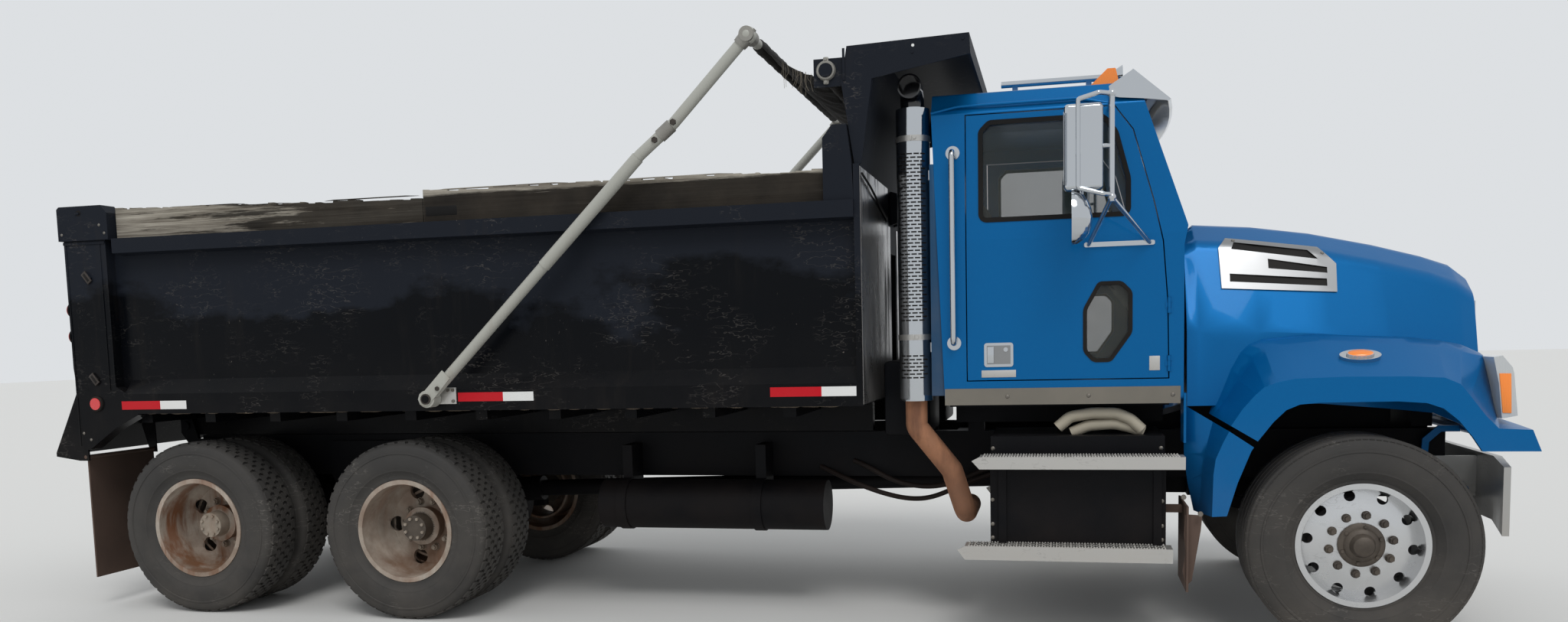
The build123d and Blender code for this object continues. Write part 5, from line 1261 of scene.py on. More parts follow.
@dataclass
class Wheels:
    """All the wheels' tyres, nuts, caps and hubs."""

    front_x: float = FRONT_AXLE_X
    drive_xs: dict[str, float] = field(default_factory=lambda: {"mid": -1.6995, "rear": -3.0905})
    front_z: float = 0.523
    rear_z: float = 0.5195
    front_y: float = 1.035
    outer_y: float = 1.080
    spacing: float = 0.336
    front_tyre: Tyre = field(default_factory=lambda: Tyre(0.523, 0.385, bead=0.149, grooves=(-0.105, -0.038, 0.038,
        0.105), groove_depth=0.009))
    rear_tyre: Tyre = field(default_factory=lambda: Tyre(0.5195, 0.279, rows=(-0.084, -0.042, 0.0, 0.042, 0.084),
        pitches=48))
    bolt_radius: float = 0.1429
    nut_foot: float = 0.120
    hub_radius: float = 0.086
    hub_finish: dict[str, str] = field(default_factory=lambda: {"mid": "hub iron", "rear": "dirty hub"})
    first_nut: dict[str, float] = field(default_factory=lambda: {"mid": 0.0, "rear": 10.0})

    def build(self, truck: Truck) -> None:
        """Builds the tyres and the fastenings of every wheel."""
        for side in Side:
            self._front(truck, side)
            for axle, x in self.drive_xs.items():
                self._rear(truck, side, axle, x)

    def _front(self, truck: Truck, side: Side) -> None:
        """One steered wheel."""
        sign, word = side.value, side.word
        centre = (self.front_x, sign * self.front_y, self.front_z)
        tyre = Shape(f"front_tyre_rubber_{word}")
        self.front_tyre.add_to(tyre, centre, sign)
        tyre.finish(truck, f"front_wheel_{word}", "tyre rubber", (f"front_tyre_{word}",))
        nuts = Shape(f"front_wheel_nuts_{word}")
        face = self.front_y + self.nut_foot
        for x, z in around(self.front_x, self.front_z, self.bolt_radius, 10, 9.5):
            self._nut(nuts, (x, sign * face, z), sign)
        nuts.finish(truck, f"front_wheel_{word}", "hub iron")
        drum = Shape(f"brake_drum_{word}")
        drum.turn([(0.0, 0.088), (0.226, 0.088), (0.230, 0.084), (0.230, -0.030), (0.215, -0.030), (0.215, 0.070),
            (0.0, 0.070)], centre, (0, sign, 0), 48, closed=False)
        drum.finish(truck, f"front_wheel_{word}", "frame paint")
        hub = Shape(f"front_hub_{word}")
        hub.turn([(0.0, 0.118), (0.104, 0.118), (0.106, 0.132), (0.098, 0.139), (0.082, 0.141), (0.074, 0.152),
            (0.058, 0.158), (0.052, 0.172), (0.046, 0.190), (0.030, 0.199), (0.0, 0.202)], centre, (0, sign, 0), 48,
            closed=False)
        for x, z in around(self.front_x, self.front_z, 0.090, 6, 20):
            hub.rod((x, sign * (self.front_y + 0.136), z), (x, sign * (self.front_y + 0.148), z), 0.009, 6)
        hub.finish(truck, f"front_wheel_{word}", "hub iron")

    @staticmethod
    def _nut(shape: Shape, foot: Point, sign: int, size: float = 0.0175, height: float = 0.026) -> None:
        """A wheel nut with its washer face and the stud's end."""
        x, y, z = foot
        shape.rod((x, y, z), (x, y + sign * 0.005, z), size * 1.22, 16)
        shape.rod((x, y + sign * 0.004, z), (x, y + sign * height, z), size * 1.12, 6, size * 1.02)
        shape.rod((x, y + sign * (height - 0.002), z), (x, y + sign * (height + 0.012), z), size * 0.62, 12)

    def _rear(self, truck: Truck, side: Side, axle: str, x: float) -> None:
        """One pair of twin wheels."""
        sign, word = side.value, side.word
        tyres = Shape(f"{axle}_tyre_rubber_{word}")
        for number, y in enumerate((self.outer_y, self.outer_y - self.spacing)):
            self.rear_tyre.phase = 0.3 * number
            self.rear_tyre.add_to(tyres, (x, sign * y, self.rear_z), sign)
        tyres.finish(truck, f"{axle}_wheels_{word}", "tyre rubber", (f"{axle}_tyres_{word}",))
        nuts = Shape(f"{axle}_wheel_nuts_{word}")
        disc = self.outer_y - self.spacing / 2
        node = f"{axle}_rims_{word}"
        rims = truck.copy(f"{axle}_rims_shape_{word}", node)
        tree = BVHTree.FromBMesh(rims.mesh)
        rims.mesh.free()
        for nut_x, nut_z in around(x, self.rear_z, self.bolt_radius, 10, self.first_nut[axle], -sign):
            hit = side.first_hit(tree, nut_x, nut_z)
            if hit is not None:
                self._nut(nuts, tuple(hit), sign, 0.019, 0.030)
        for nut_x, nut_z in around(x, self.rear_z, 0.058, 8, 22.5):
            nuts.rod((nut_x, sign * (disc + 0.175), nut_z), (nut_x, sign * (disc + 0.187), nut_z), 0.0095, 6)
        nuts.finish(truck, f"{axle}_wheels_{word}", "dirty hub")
        truck.split(node, lambda middle: math.hypot(middle.x - x, middle.z - self.rear_z) >= self.hub_radius,
            (f"{axle}_rims_skin_{word}", "steel rim", 48), (f"{axle}_hub_skin_{word}", self.hub_finish[axle], 48))


@dataclass
class Skins:
    """Smoothly shaded copies of the frame's curved parts, in place of their faceted ones."""

    panel_crease: float = 34.0
    round_crease: float = 48.0
    panels: tuple[str, ...] = ("door_right", "door_left", "splash_panels", "front_bumper", "bed_side_right",
        "bed_side_left", "bed_front", "tailgate", "bed_floor")
    rounds: tuple[str, ...] = ("hood", "cab", "mirror_right", "mirror_left", "exhaust_pipe", "air_tank", "fuel_tank",
        "tarp_bow", "front_rim_right", "front_rim_left", "drive_axles", "suspension", "hoist_barrel", "hoist_stage_1",
        "hoist_stage_2", "hoist_rod", "bed_lamps", "engine", "knuckle_right", "knuckle_left", "tie_rod")
    floor_outline: tuple[Pair, ...] = ((-3.860, -1.127), (0.953, -1.127), (0.953, -0.118), (0.697, -0.118),
        (0.697, 0.118), (0.953, 0.118), (0.953, 1.127), (-3.860, 1.127))
    floor_levels: Pair = (1.2645, 1.2662)

    def build(self, truck: Truck) -> None:
        """Copies every listed part."""
        for names, crease in ((self.panels, self.panel_crease), (self.rounds, self.round_crease)):
            for name in names:
                shape = truck.copy(f"{name}_skin", name)
                skin = shape.finish(truck, name, SLOT_FINISH[truck.slots[name]], (name,), crease)
                level = skin.modifiers.new("level faces", "WEIGHTED_NORMAL")
                level.keep_sharp = True
        sheet = Shape("bed_floor_sheet")
        sheet.plate(self.floor_outline, Facing.TOP, *self.floor_levels)
        sheet.finish(truck, "bed_floor", "scoured steel")


@dataclass
class Tape:
    """A strip of reflecting tape, red at its rear and white at its front."""

    rear: float
    low: float
    length: float = 457.0
    height: float = 50.0
    red_share: float = 0.6

    def add_to(self, red: Shape, white: Shape, y: float, side: Side) -> None:
        """Adds both parts of the strip.

        Args:
            red, white: The shapes that take the two colours.
            y: The distance of the wall's face from the middle.
            side: The truck's side.
        """
        split = self.rear + self.length * self.red_share
        for shape, first, last in ((red, self.rear, split), (white, split, self.rear + self.length)):
            shape.box((at(first), side.value * y, self.low / 1000), (at(last), side.value * (y + 0.0012),
                (self.low + self.height) / 1000))


@dataclass
class Bed:
    """The bed's fittings: tapes, posts, lamps, front wall and boards."""

    half_width: float = 1.220
    tapes: tuple[Tape, ...] = (Tape(-6908, 1242), Tape(-4665, 1265), Tape(-2865, 1268))
    tape_gap: float = 0.0002
    lug_heights: tuple[float, ...] = (2.041, 1.429)
    lock: float = -7086
    front_sheet_y: float = 1.214
    board_y: Pair = (1.1352, 1.1728)
    board_seed: int = 11

    def build(self, truck: Truck) -> None:
        """Builds every fitting of the bed."""
        red, white = Shape("red_tapes"), Shape("white_tapes")
        for side in Side:
            for tape in self.tapes:
                tape.add_to(red, white, self.half_width + self.tape_gap, side)
        red.finish(truck, "bed", "red tape")
        white.finish(truck, "bed", "white tape")
        for side in Side:
            self._post(truck, side)
            self._arm_foot(truck, side)
            self._boards(truck, side)
        self._front_wall(truck)
        self._gate(truck)
        self._underside(truck)

    def _post(self, truck: Truck, side: Side) -> None:
        """The rear post's seam, latch, painted shade in its slots, rivets and lamp rings."""
        sign, y = side.value, self.half_width
        lock_x = at(self.lock)
        dark = Shape(f"post_slots_{side.word}")
        plain = Shape(f"post_fittings_{side.word}")
        lugs = Shape(f"post_lugs_{side.word}")
        # Each lug gets a smaller dark box on its face: painted shade in the lug's slot. The dark disc by the cap goes
        # in the same piece.
        for z in self.lug_heights:
            for shape, out, half_long, half_wide in ((lugs, 0.014, 0.038, 0.019), (dark, 0.0150, 0.029, 0.010)):
                verts = shape.box((lock_x - half_long, sign * (y + 0.004), z - half_wide),
                    (lock_x + half_long, sign * (y + out), z + half_wide), 0.004)
                shape.turned_by(verts, -sign * math.radians(52), (0, 1, 0), (lock_x, 0, z))
        cap_y = y + 0.020
        dark.pin(side, -7099, 2.424, cap_y - 0.01, cap_y + 0.0012, 0.017, 16)
        plain.block(side, (-7122, -7092), (cap_y - 0.004, cap_y + 0.008), (2.415, 2.428), 0.003)
        bolts = Shape(f"post_bolts_{side.word}")
        for x, z, where in ((-6958, 2.349, cap_y), (-6925, 2.30, cap_y), (-7230, 2.30, cap_y), (-7200, 1.10, y),
                (-7150, 1.06, y)):
            bolts.ball((at(x), sign * where, z), (0.009, 0.005, 0.009), 6)
        bolts.finish(truck, "bed", "worn bolt")
        plain.block(side, (-7241, -6942), (y - 0.002, y + 0.007), (2.238, 2.256), 0.003)
        plain.block(side, (-7232, -7222), (y - 0.002, y + 0.003), (1.02, 2.24), 0.001)
        for x, low in ((-6945, 1.40), (-6985, 1.36)):
            plain.block(side, (x, x + 6), (y - 0.003, y + 0.004), (low, 2.24), 0.001)
        lugs.finish(truck, "bed", "hub iron")
        plain.finish(truck, "bed", "bed paint")
        dark.finish(truck, "bed", "seal rubber")
        rings = Shape(f"lamp_rings_{side.word}")
        rings.turn([(0.035, 0.0), (0.048, 0.0), (0.048, 0.008), (0.043, 0.014), (0.035, 0.014)],
            (at(-7087), sign * y, 1.279), (0, sign, 0), 32)
        for z in (1.690, 1.850):
            rings.turn([(0.039, 0.0), (0.051, 0.0), (0.051, 0.008), (0.045, 0.014), (0.039, 0.014)],
                (at(-7240), sign * 1.176, z), (-1, 0, 0), 32)
        rings.finish(truck, "bed", "seal rubber")

    def _arm_foot(self, truck: Truck, side: Side) -> None:
        """The plate behind the tarp arm's pivot, with its bolts."""
        sign, y = side.value, self.half_width
        plate = Shape(f"arm_foot_plate_{side.word}")
        plate.block(side, (-4850, -4672), (y - 0.002, y + 0.0095), (1.252, 1.345), 0.002)
        plate.finish(truck, "bed", "bare alloy")
        bolts = Shape(f"arm_foot_bolts_{side.word}")
        for x, z in ((-4690, 1.330), (-4690, 1.268), (-4720, 1.330)):
            spot = (at(x), sign * (y + 0.008), z)
            bolts.rod(spot, (spot[0], spot[1] + sign * 0.009, z), 0.010, 6)
        bolts.finish(truck, "bed", "worn bolt")

    def _ragged(self, start: float, end: float, heights: Pair, chance: random.Random) -> list[Pair]:
        """A splintered top edge from one end to the other.

        Args:
            start, end: Its ends, in mm ahead of the front axle.
            heights: Its heights at the ends, in mm.
            chance: The seeded source of its steps.

        Returns:
            Its corners.
        """
        corners, drop, distance = [], 0.0, start
        while distance < end - 30:
            share = (distance - start) / (end - start)
            height = heights[0] + (heights[1] - heights[0]) * share
            corners.append((distance, height - drop))
            distance += chance.uniform(18, 75)
            corners.append((min(distance, end - 12), height - drop - chance.uniform(0, 2.5)))
            drop = max(0.0, chance.choice((0.0, 2.0, 4.0, 7.0, 11.0)) + chance.uniform(-1, 2))
            distance += chance.uniform(1, 7)
        corners.append((end, heights[1] - drop))
        return corners

    def _boards(self, truck: Truck, side: Side) -> None:
        """Two weathered boards end to end, with a step between them and a few long splinters."""
        sign = side.value
        chance = random.Random(self.board_seed + sign)
        low, high = sorted(sign * y for y in self.board_y)
        shape = Shape(f"boards_{side.word}")
        for start, end, heights in ((-6895, -4852, (2452, 2410)), (-4846, -2570, (2450, 2437))):
            top = self._ragged(start, end, heights, chance)
            outline = ahead((start, 2265), *top, (end, 2265))
            shape.plate(list(reversed(outline)), Facing.SIDE, low, high)
        for start, end, z, thick in ((-6560, -6010, 2436, 5), (-5480, -4880, 2421, 5), (-4780, -3980, 2444, 6),
                (-3700, -3050, 2440, 5), (-6200, -5700, 2424, 4)):
            rise = chance.uniform(-3, 3)
            sliver = ahead((start, z), (start + 60, z + thick), (end - 80, z + thick + rise), (end, z + rise))
            inner = sign * (self.board_y[0] + 0.012)
            shape.plate(sliver, Facing.SIDE, inner, inner + sign * 0.014)
        shape.finish(truck, "bed", "weathered boards", ("sideboards",))
        # A dark block over the board's hole: painted shade in the hole.
        dark = Shape(f"board_hole_{side.word}")
        dark.block(side, (-4836, -4640), (self.board_y[1] - 0.01, self.board_y[1] + 0.0015), (2.300, 2.356), 0.012)
        dark.finish(truck, "bed", "seal rubber")

    def _front_wall(self, truck: Truck) -> None:
        """The sooty sheet on the front wall, its seam, painted sky light in the shield's holes and the wall's cable.
        """
        face = at(-2374)
        sheet = Shape("front_wall_sheets")
        for side in Side:
            low, high = side.span(0.130, self.front_sheet_y)
            sheet.box((face + 0.0005, low, 1.222), (face + 0.0030, high, 2.215))
            low, high = side.span(0.215, self.front_sheet_y)
            sheet.box((face + 0.0005, low, 2.2155), (face + 0.0030, high, 2.432))
        sheet.finish(truck, "bed", "smoked sheet")
        wire = Shape("front_wall_wire")
        wire.tube([(face + 0.012, -1.205, 2.395), (face + 0.014, -0.95, 2.36), (face + 0.012, -0.62, 2.30),
            (face + 0.012, -0.30, 2.24)], 0.006, 0.1)
        wire.finish(truck, "bed", "seal rubber")
        shield, hole, ring = Shape("shield_fittings"), Shape("shield_light_holes"), Shape("roller_end_rings")
        roller_x = at(-2538)
        for side in Side:
            sign = side.value
            shield.block(side, (-2452, -2440), (1.199, 1.206), (2.862, 3.02), 0.001)
            for x, z in ((-1850, 3.02), (-2100, 2.975)):
                shield.pin(side, x, z, 1.190, 1.2035, 0.007, 8)
            # Pale discs in the shield's holes: painted sky light showing through them.
            hole.pin(side, -2096, 3.007, 1.1985, 1.2004, 0.0075, 14)
            ring.turn([(0.036, 0.0), (0.050, 0.0), (0.050, 0.012), (0.044, 0.020), (0.036, 0.020)],
                (roller_x, sign * 1.188, 2.918), (0, sign, 0), 28)
            ring.box((roller_x - 0.014, sign * 1.187, 2.850), (roller_x + 0.014, sign * 1.199, 2.986), 0.006)
            for z in (2.862, 2.974):
                ring.pin(side, -2538, z, 1.196, 1.206, 0.008, 6)
        shield.finish(truck, "bed", "bed paint")
        hole.finish(truck, "bed", "white tape")
        ring.finish(truck, "bed", "cast joint")

    def _gate(self, truck: Truck) -> None:
        """A plain latch bar with four brackets across the tailgate."""
        bar = Shape("gate_latch_bar")
        bar.box((at(-7246), -1.05, 1.300), (at(-7236), 1.05, 1.322), 0.003)
        for y in (-0.9, -0.3, 0.3, 0.9):
            bar.box((at(-7250), y - 0.03, 1.286), (at(-7236), y + 0.03, 1.336), 0.003)
        bar.finish(truck, "tailgate", "bed paint")

    def _underside(self, truck: Truck) -> None:
        """Caked dirt along the side walls' lower edge."""
        chance = random.Random(5)
        dirt = Shape("caked_dirt")
        for side in Side:
            for _ in range(70):
                x = chance.uniform(-6750, -2500)
                size = chance.uniform(0.006, 0.022)
                dirt.ball((at(x), side.value * chance.uniform(1.16, 1.205), 1.2155), (size * 2.2, size, size * 0.35),
                    5)
        dirt.finish(truck, "bed", "caked dirt")


@dataclass
class Tarp:
    """The arms' joints, and the mesh cloth between the bow and its roller."""

    arm_y: float = 1.280
    half_width: float = 1.080
    bow: Pair = (-2920, 3105)
    roller: Pair = (-2538, 2918)
    sag: float = 14

    def build(self, truck: Truck) -> None:
        """Builds the arms' fittings and the cloth."""
        for side in Side:
            self._arm(truck, side)
        self._cloth(truck)

    def _arm(self, truck: Truck, side: Side) -> None:
        """The forked foot, the splice and the elbow casting of one arm."""
        sign, y = side.value, side.value * self.arm_y
        foot = Shape(f"arm_foot_{side.word}")
        outline = ahead((-4861, 1285), (-4850, 1255), (-4824, 1243), (-4796, 1250), (-4775, 1275), (-4660, 1398),
            (-4706, 1444), (-4820, 1330), (-4850, 1315))
        foot.plate(outline, Facing.SIDE, *side.span(self.arm_y + 0.0265, self.arm_y + 0.0345), 0.002)
        foot.finish(truck, "tarp_bow", "arm paint")
        bolts = Shape(f"arm_bolts_{side.word}")
        bolts.pin(side, -4737, 1.343, self.arm_y + 0.030, self.arm_y + 0.044, 0.013, 6)
        bolts.pin(side, -4811, 1.285, self.arm_y + 0.034, self.arm_y + 0.0435, 0.030, 16)
        for x, z in ((-3425, 2.612), (-3322, 2.696)):
            bolts.pin(side, x, z, self.arm_y + 0.026, self.arm_y + 0.038, 0.017, 6)
        bolts.finish(truck, "tarp_bow", "hub iron")
        splice = Shape(f"arm_splice_{side.word}")
        splice.rod((at(-3405), y, 2.634), (at(-3340), y, 2.685), 0.036, 28)
        splice.finish(truck, "tarp_bow", "cast joint")
        joint = Shape(f"arm_elbow_{side.word}")
        joint.rod((at(-2965), y, 3.060), (at(-2926), y, 3.099), 0.037, 24, 0.040)
        joint.pin(side, -2920, 3.105, self.arm_y - 0.085, self.arm_y + 0.040, 0.0385, 24)
        joint.rod((at(-2896), sign * (self.arm_y + 0.01), 3.112), (at(-2878), sign * (self.arm_y + 0.01), 3.128),
            0.010, 8)
        joint.finish(truck, "tarp_bow", "cast joint")

    def _section(self, share: float, across: float) -> Pair:
        """The cloth's line from the bow to the roller, bundled at the bow and slack in the middle.

        Args:
            share: How far along it, from 0 at the bow to 1 at the roller.
            across: How far across the truck, from -1 to 1.

        Returns:
            The place as X and Z in metres.
        """
        points = ((-2893, 3086), (-2862, 3052), (-2822, 3020), (-2778, 2992), (-2725, 2966), (-2675, 2950),
            (-2625, 2940), (-2580, 2944), (-2552, 2953))
        spot = share * (len(points) - 1)
        first = min(int(spot), len(points) - 2)
        part = spot - first
        x = points[first][0] * (1 - part) + points[first + 1][0] * part
        z = points[first][1] * (1 - part) + points[first + 1][1] * part
        slack = math.sin(math.pi * share)
        wave = math.sin(across * 19.0 + share * 5.0) * 6 + math.sin(across * 47.0 - share * 9.0) * 3
        return at(x + wave * slack * 0.6), (z - self.sag * slack * (1 - across * across) + wave * slack) / 1000

    def _cloth(self, truck: Truck) -> None:
        """The sheet itself, the rolls round the roller and the bow, and its loose threads."""
        rows, columns = 24, 120
        web = Shape("tarp_web")
        grid = bmesh.ops.create_grid(web.mesh, x_segments=columns, y_segments=rows, size=0.5)["verts"]
        for vert in grid:
            across, share = vert.co.x * 2, vert.co.y + 0.5
            x, z = self._section(share, across)
            edge = 1.0 - 0.05 * math.sin(math.pi * share)
            vert.co = (x, across * self.half_width * edge, z)
        holes = [face for face in web.mesh.faces if abs(abs(face.calc_center_median().y) - 1.035) < 0.022
            and at(-2700) < face.calc_center_median().x < at(-2630)]
        bmesh.ops.delete(web.mesh, geom=holes, context="FACES")
        bmesh.ops.solidify(web.mesh, geom=list(web.mesh.faces), thickness=0.0022)
        chance = random.Random(3)
        threads = Shape("tarp_threads")
        for side in Side:
            for _ in range(16):
                share = chance.uniform(0.18, 0.72)
                x, z = self._section(share, side.value)
                y = side.value * chance.uniform(1.02, 1.075)
                length = chance.uniform(0.03, 0.13)
                sway = chance.uniform(-0.02, 0.02)
                threads.tube([(x, y, z), (x + sway * 0.5, y, z - length * 0.5), (x - sway, y, z - length)], 0.0009,
                    0.02, 2, 2)
        loose = threads.finish(truck, "bed", "loose thread")
        rolls = Shape("tarp_rolls")
        self._roll(rolls, self.roller, 0.044)
        rolls.finish(truck, "bed", "tarp mesh", ("tarp",))
        wrap = Shape("tarp_bow_wrap")
        self._roll(wrap, self.bow, 0.034)
        wrap.finish(truck, "tarp_bow", "tarp mesh")
        piece = web.finish(truck, None, "tarp mesh")
        at(-2880)
        at(-2580)
        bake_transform(piece)

    def _roll(self, shape: Shape, centre: Pair, radius: float) -> None:
        """Cloth wound round a tube, a little uneven along it."""
        profile = []
        steps = 90
        for step in range(steps + 1):
            across = -self.half_width + 2 * self.half_width * step / steps
            swell = 1.0 + 0.05 * math.sin(across * 31.0) + 0.04 * math.sin(across * 83.0 + 1.0)
            if step in (0, steps):
                swell = 0.86
            profile.append((radius * min(swell, 1.06), across))
        profile = [(0.0, -self.half_width), *profile, (0.0, self.half_width)]
        shape.turn(profile, (at(centre[0]), 0.0, centre[1] / 1000), (0, 1, 0), 28, closed=False)


@dataclass
class Stack:
    """The exhaust stack's shield with its slots, clamps and bare elbow."""

    axis: Pair = (-2140.0, -0.880)
    radius: float = 0.088
    split: float = 2.757
    slot_size: Pair = (0.028, 0.0075)
    row_pitch: float = 0.0192
    bands: tuple[Pair, ...] = ((1.337, 1.489), (1.640, 2.525))

    def build(self, truck: Truck) -> None:
        """Builds the shield, the elbow, the slots and the clamps."""
        shield = truck.copy("stack_shield", "exhaust_stack")
        elbow = shield.cut_off("stack_elbow", (0.0, 0.0, self.split), (0.0, 0.0, 1.0))
        body = "exhaust_stack"
        shield.finish(truck, body, "chrome", (body,), 40)
        elbow.finish(truck, body, "gloss black", crease=40)
        # Dark boxes on the shield: painted shade in its slots.
        slots = Shape("stack_slots")
        x, y = at(self.axis[0]), self.axis[1]
        for low, high in self.bands:
            for row in range(int((high - low) / self.row_pitch)):
                z = low + (row + 0.5) * self.row_pitch
                for column in range(-2, 2):
                    angle = (column + 0.5 * (row % 2)) * 0.41 + 0.1
                    self._slot(slots, x, y, z, angle)
        slots.finish(truck, body, "seal rubber")
        clamps = Shape("stack_clamps")
        for z in (1.560, 2.594):
            clamps.turn([(self.radius + 0.0002, -0.015), (self.radius + 0.0035, -0.015),
                (self.radius + 0.0035, 0.015), (self.radius + 0.0002, 0.015)], (x, y, z), (0, 0, 1), 48)
            clamps.rod((x + 0.02, y - self.radius - 0.002, z), (x + 0.02, y - self.radius - 0.016, z), 0.009, 6)
            clamps.box((x - 0.004, y - self.radius - 0.014, z - 0.013), (x + 0.004, y - self.radius - 0.001,
                z + 0.013), 0.001)
        clamps.finish(truck, body, "bare alloy")
        lip = Shape("stack_mouth_lip")
        lip.turn([(0.0535, 0.0), (0.0615, 0.0), (0.0615, 0.006), (0.0535, 0.006)], (at(-2140), -1.0095, 2.850),
            (0, 1, 0), 40)
        lip.finish(truck, body, "hub iron")

    def _slot(self, shape: Shape, x: float, y: float, z: float, angle: float) -> None:
        """One dark box on the shield's outer side, turned about the shield's axis: painted shade in one of its slots.
        """
        long, high = self.slot_size
        verts = shape.box((x - long / 2, y - self.radius - 0.0011, z - high / 2), (x + long / 2,
            y - self.radius + 0.004, z + high / 2))
        shape.turned_by(verts, angle, (0, 0, 1), (x, y, z))


@dataclass
class Cab:
    """The cab's window seals, handle, bare plates, rails, wipers and mirror glass."""

    sill_top: float = 1.29
    lean_start: float = 2.05
    lean: float = 0.054
    window: tuple[Pair, ...] = ((-1788, 2170), (-1763, 2145), (-1075, 2145), (-1050, 2170), (-1050, 2330),
        (-1110, 2560), (-1160, 2630), (-1195, 2650), (-1738, 2650), (-1788, 2600))
    windscreen: tuple[Pair, ...] = ((-0.80, 2.150), (-0.74, 2.700), (0.74, 2.700), (0.80, 2.150))
    peep: tuple[Pair, ...] = ((-1271, 1470), (-1271, 1680), (-1200, 1812), (-1090, 1812), (-1042, 1760),
        (-1042, 1560), (-1140, 1417), (-1225, 1417))

    def build(self, truck: Truck) -> None:
        """Builds the fittings of both sides."""
        for side in Side:
            self._door(truck, side)
            self._outside(truck, side)
            self._mirror_glass(truck, side)
        self._windscreen(truck)
        self._heat_shield(truck)
        self._roof(truck)
        truck.split("cab_trim", lambda middle: middle.z < self.sill_top, ("sill_strips", "stainless sill", 30),
            ("bright_trim", "chrome", 45))

    def _ring(self, shape: Shape, outline: Outline, side: Side, face: float, out: float, width: float,
            grow: float) -> None:
        """A rubber frame round an opening, leaned with the door's upper half.

        Args:
            shape: The shape that takes it.
            outline: The opening's corners in mm.
            side: The truck's side.
            face: The distance of the door's face from the middle.
            out: How far the frame stands out of it.
            width: The frame's width.
            grow: How far it reaches beyond the opening, in mm.
        """
        middle = [sum(corner[axis] for corner in outline) / len(outline) for axis in (0, 1)]
        reach = [max(corner[axis] for corner in outline) - min(corner[axis] for corner in outline) for axis in (0, 1)]
        grown = [tuple(middle[axis] + (corner[axis] - middle[axis]) * (1 + 2 * grow / reach[axis]) for axis in (0, 1))
            for corner in outline]
        low, high = side.span(face - 0.004, face + out)
        verts = shape.band(ahead(*grown), Facing.SIDE, low, high, width, 0.018)
        for vert in verts:
            vert.co.y -= side.value * self.lean * max(0.0, vert.co.z - self.lean_start)

    def _door(self, truck: Truck, side: Side) -> None:
        """The door's seals, its handle and its bare plate."""
        body = f"door_{side.word}"
        sign = side.value
        seals = Shape(f"door_window_seals_{side.word}")
        self._ring(seals, self.window, side, 1.000, 0.004, 0.024, 7)
        self._ring(seals, self.peep, side, 1.000, 0.004, 0.020, 6)
        inner, outer = side.span(0.9985, 1.0035)
        bar = seals.box((at(-1300), inner, 2.150), (at(-1288), outer, 2.645), 0.001)
        for vert in bar:
            vert.co.y -= sign * self.lean * max(0.0, vert.co.z - self.lean_start)
        seals.finish(truck, body, "seal rubber")
        case = Shape(f"door_handle_case_{side.word}")
        low, high = side.span(0.999, 1.0035)
        case.band(ahead((-1772, 1397), (-1624, 1397), (-1624, 1521), (-1772, 1521)), Facing.SIDE, low, high, 0.014,
            0.014)
        case.panel(side, ((-1756, 1416), (-1722, 1416), (-1722, 1502), (-1756, 1502)), 1.001, 1.0095, 0.003)
        case.pin(side, -1662, 1.486, 1.001, 1.0075, 0.0115, 20)
        case.finish(truck, body, "chrome")
        cup = Shape(f"door_handle_cup_{side.word}")
        cup.panel(side, ((-1762, 1407), (-1634, 1407), (-1634, 1511), (-1762, 1511)), 0.9995, 1.0012)
        cup.finish(truck, body, "satin trim")
        plate = Shape(f"door_bare_plate_{side.word}")
        plate.panel(side, ((-1786, 1343), (-1611, 1343), (-1611, 1380), (-1786, 1380)), 0.9995, 1.0025, 0.0008)
        plate.finish(truck, body, "bare alloy")

    def _outside(self, truck: Truck, side: Side) -> None:
        """The drip rail over the door and the cowl's small plate."""
        sign = side.value
        y = 0.953
        rail = Shape(f"drip_rail_{side.word}")
        rail.tube([(at(-2036), sign * (y + 0.004), 2.712), (at(-1900), sign * (y + 0.006), 2.737),
            (at(-1300), sign * (y + 0.006), 2.737), (at(-1135), sign * (y + 0.004), 2.700)], 0.008, 0.05)
        rail.finish(truck, "cab", "blue paint")
        plate = Shape(f"cowl_plate_{side.word}")
        plate.panel(side, ((-955, 1366), (-904, 1366), (-904, 1438), (-955, 1438)), 0.9995, 1.0022, 0.0007)
        plate.finish(truck, "cab", "bare alloy")

    def _heat_shield(self, truck: Truck) -> None:
        """A darker blue sheet between the cab's rear corner and the stack: painted shade standing for the cab's
        shaded rear corner.
        """
        sheet = Shape("stack_heat_shield")
        sheet.plate(ahead((-1973, 1250), (-2025, 2450), (-2046, 2450), (-2046, 1250)), Facing.SIDE, -0.985, -0.800,
            0.002)
        sheet.finish(truck, "cab", "blue jamb")

    def _mirror_glass(self, truck: Truck, side: Side) -> None:
        """The flat glass in the mirror head's rear face."""
        low_corner, high_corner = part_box(f"mirror_{side.word}")
        outer = max(abs(low_corner[1]), abs(high_corner[1]))
        y = side.value * (outer - 0.116)
        glass = Shape(f"mirror_glass_{side.word}")
        low, high = sorted((y - 0.070, y + 0.070))
        glass.plate([(low + 0.01, 2.262), (high - 0.01, 2.262), (high, 2.280), (high, 2.600), (low, 2.600),
            (low, 2.280)], Facing.FRONT, at(-1371.5), at(-1369), 0.0008)
        glass.finish(truck, f"mirror_{side.word}", "chrome")

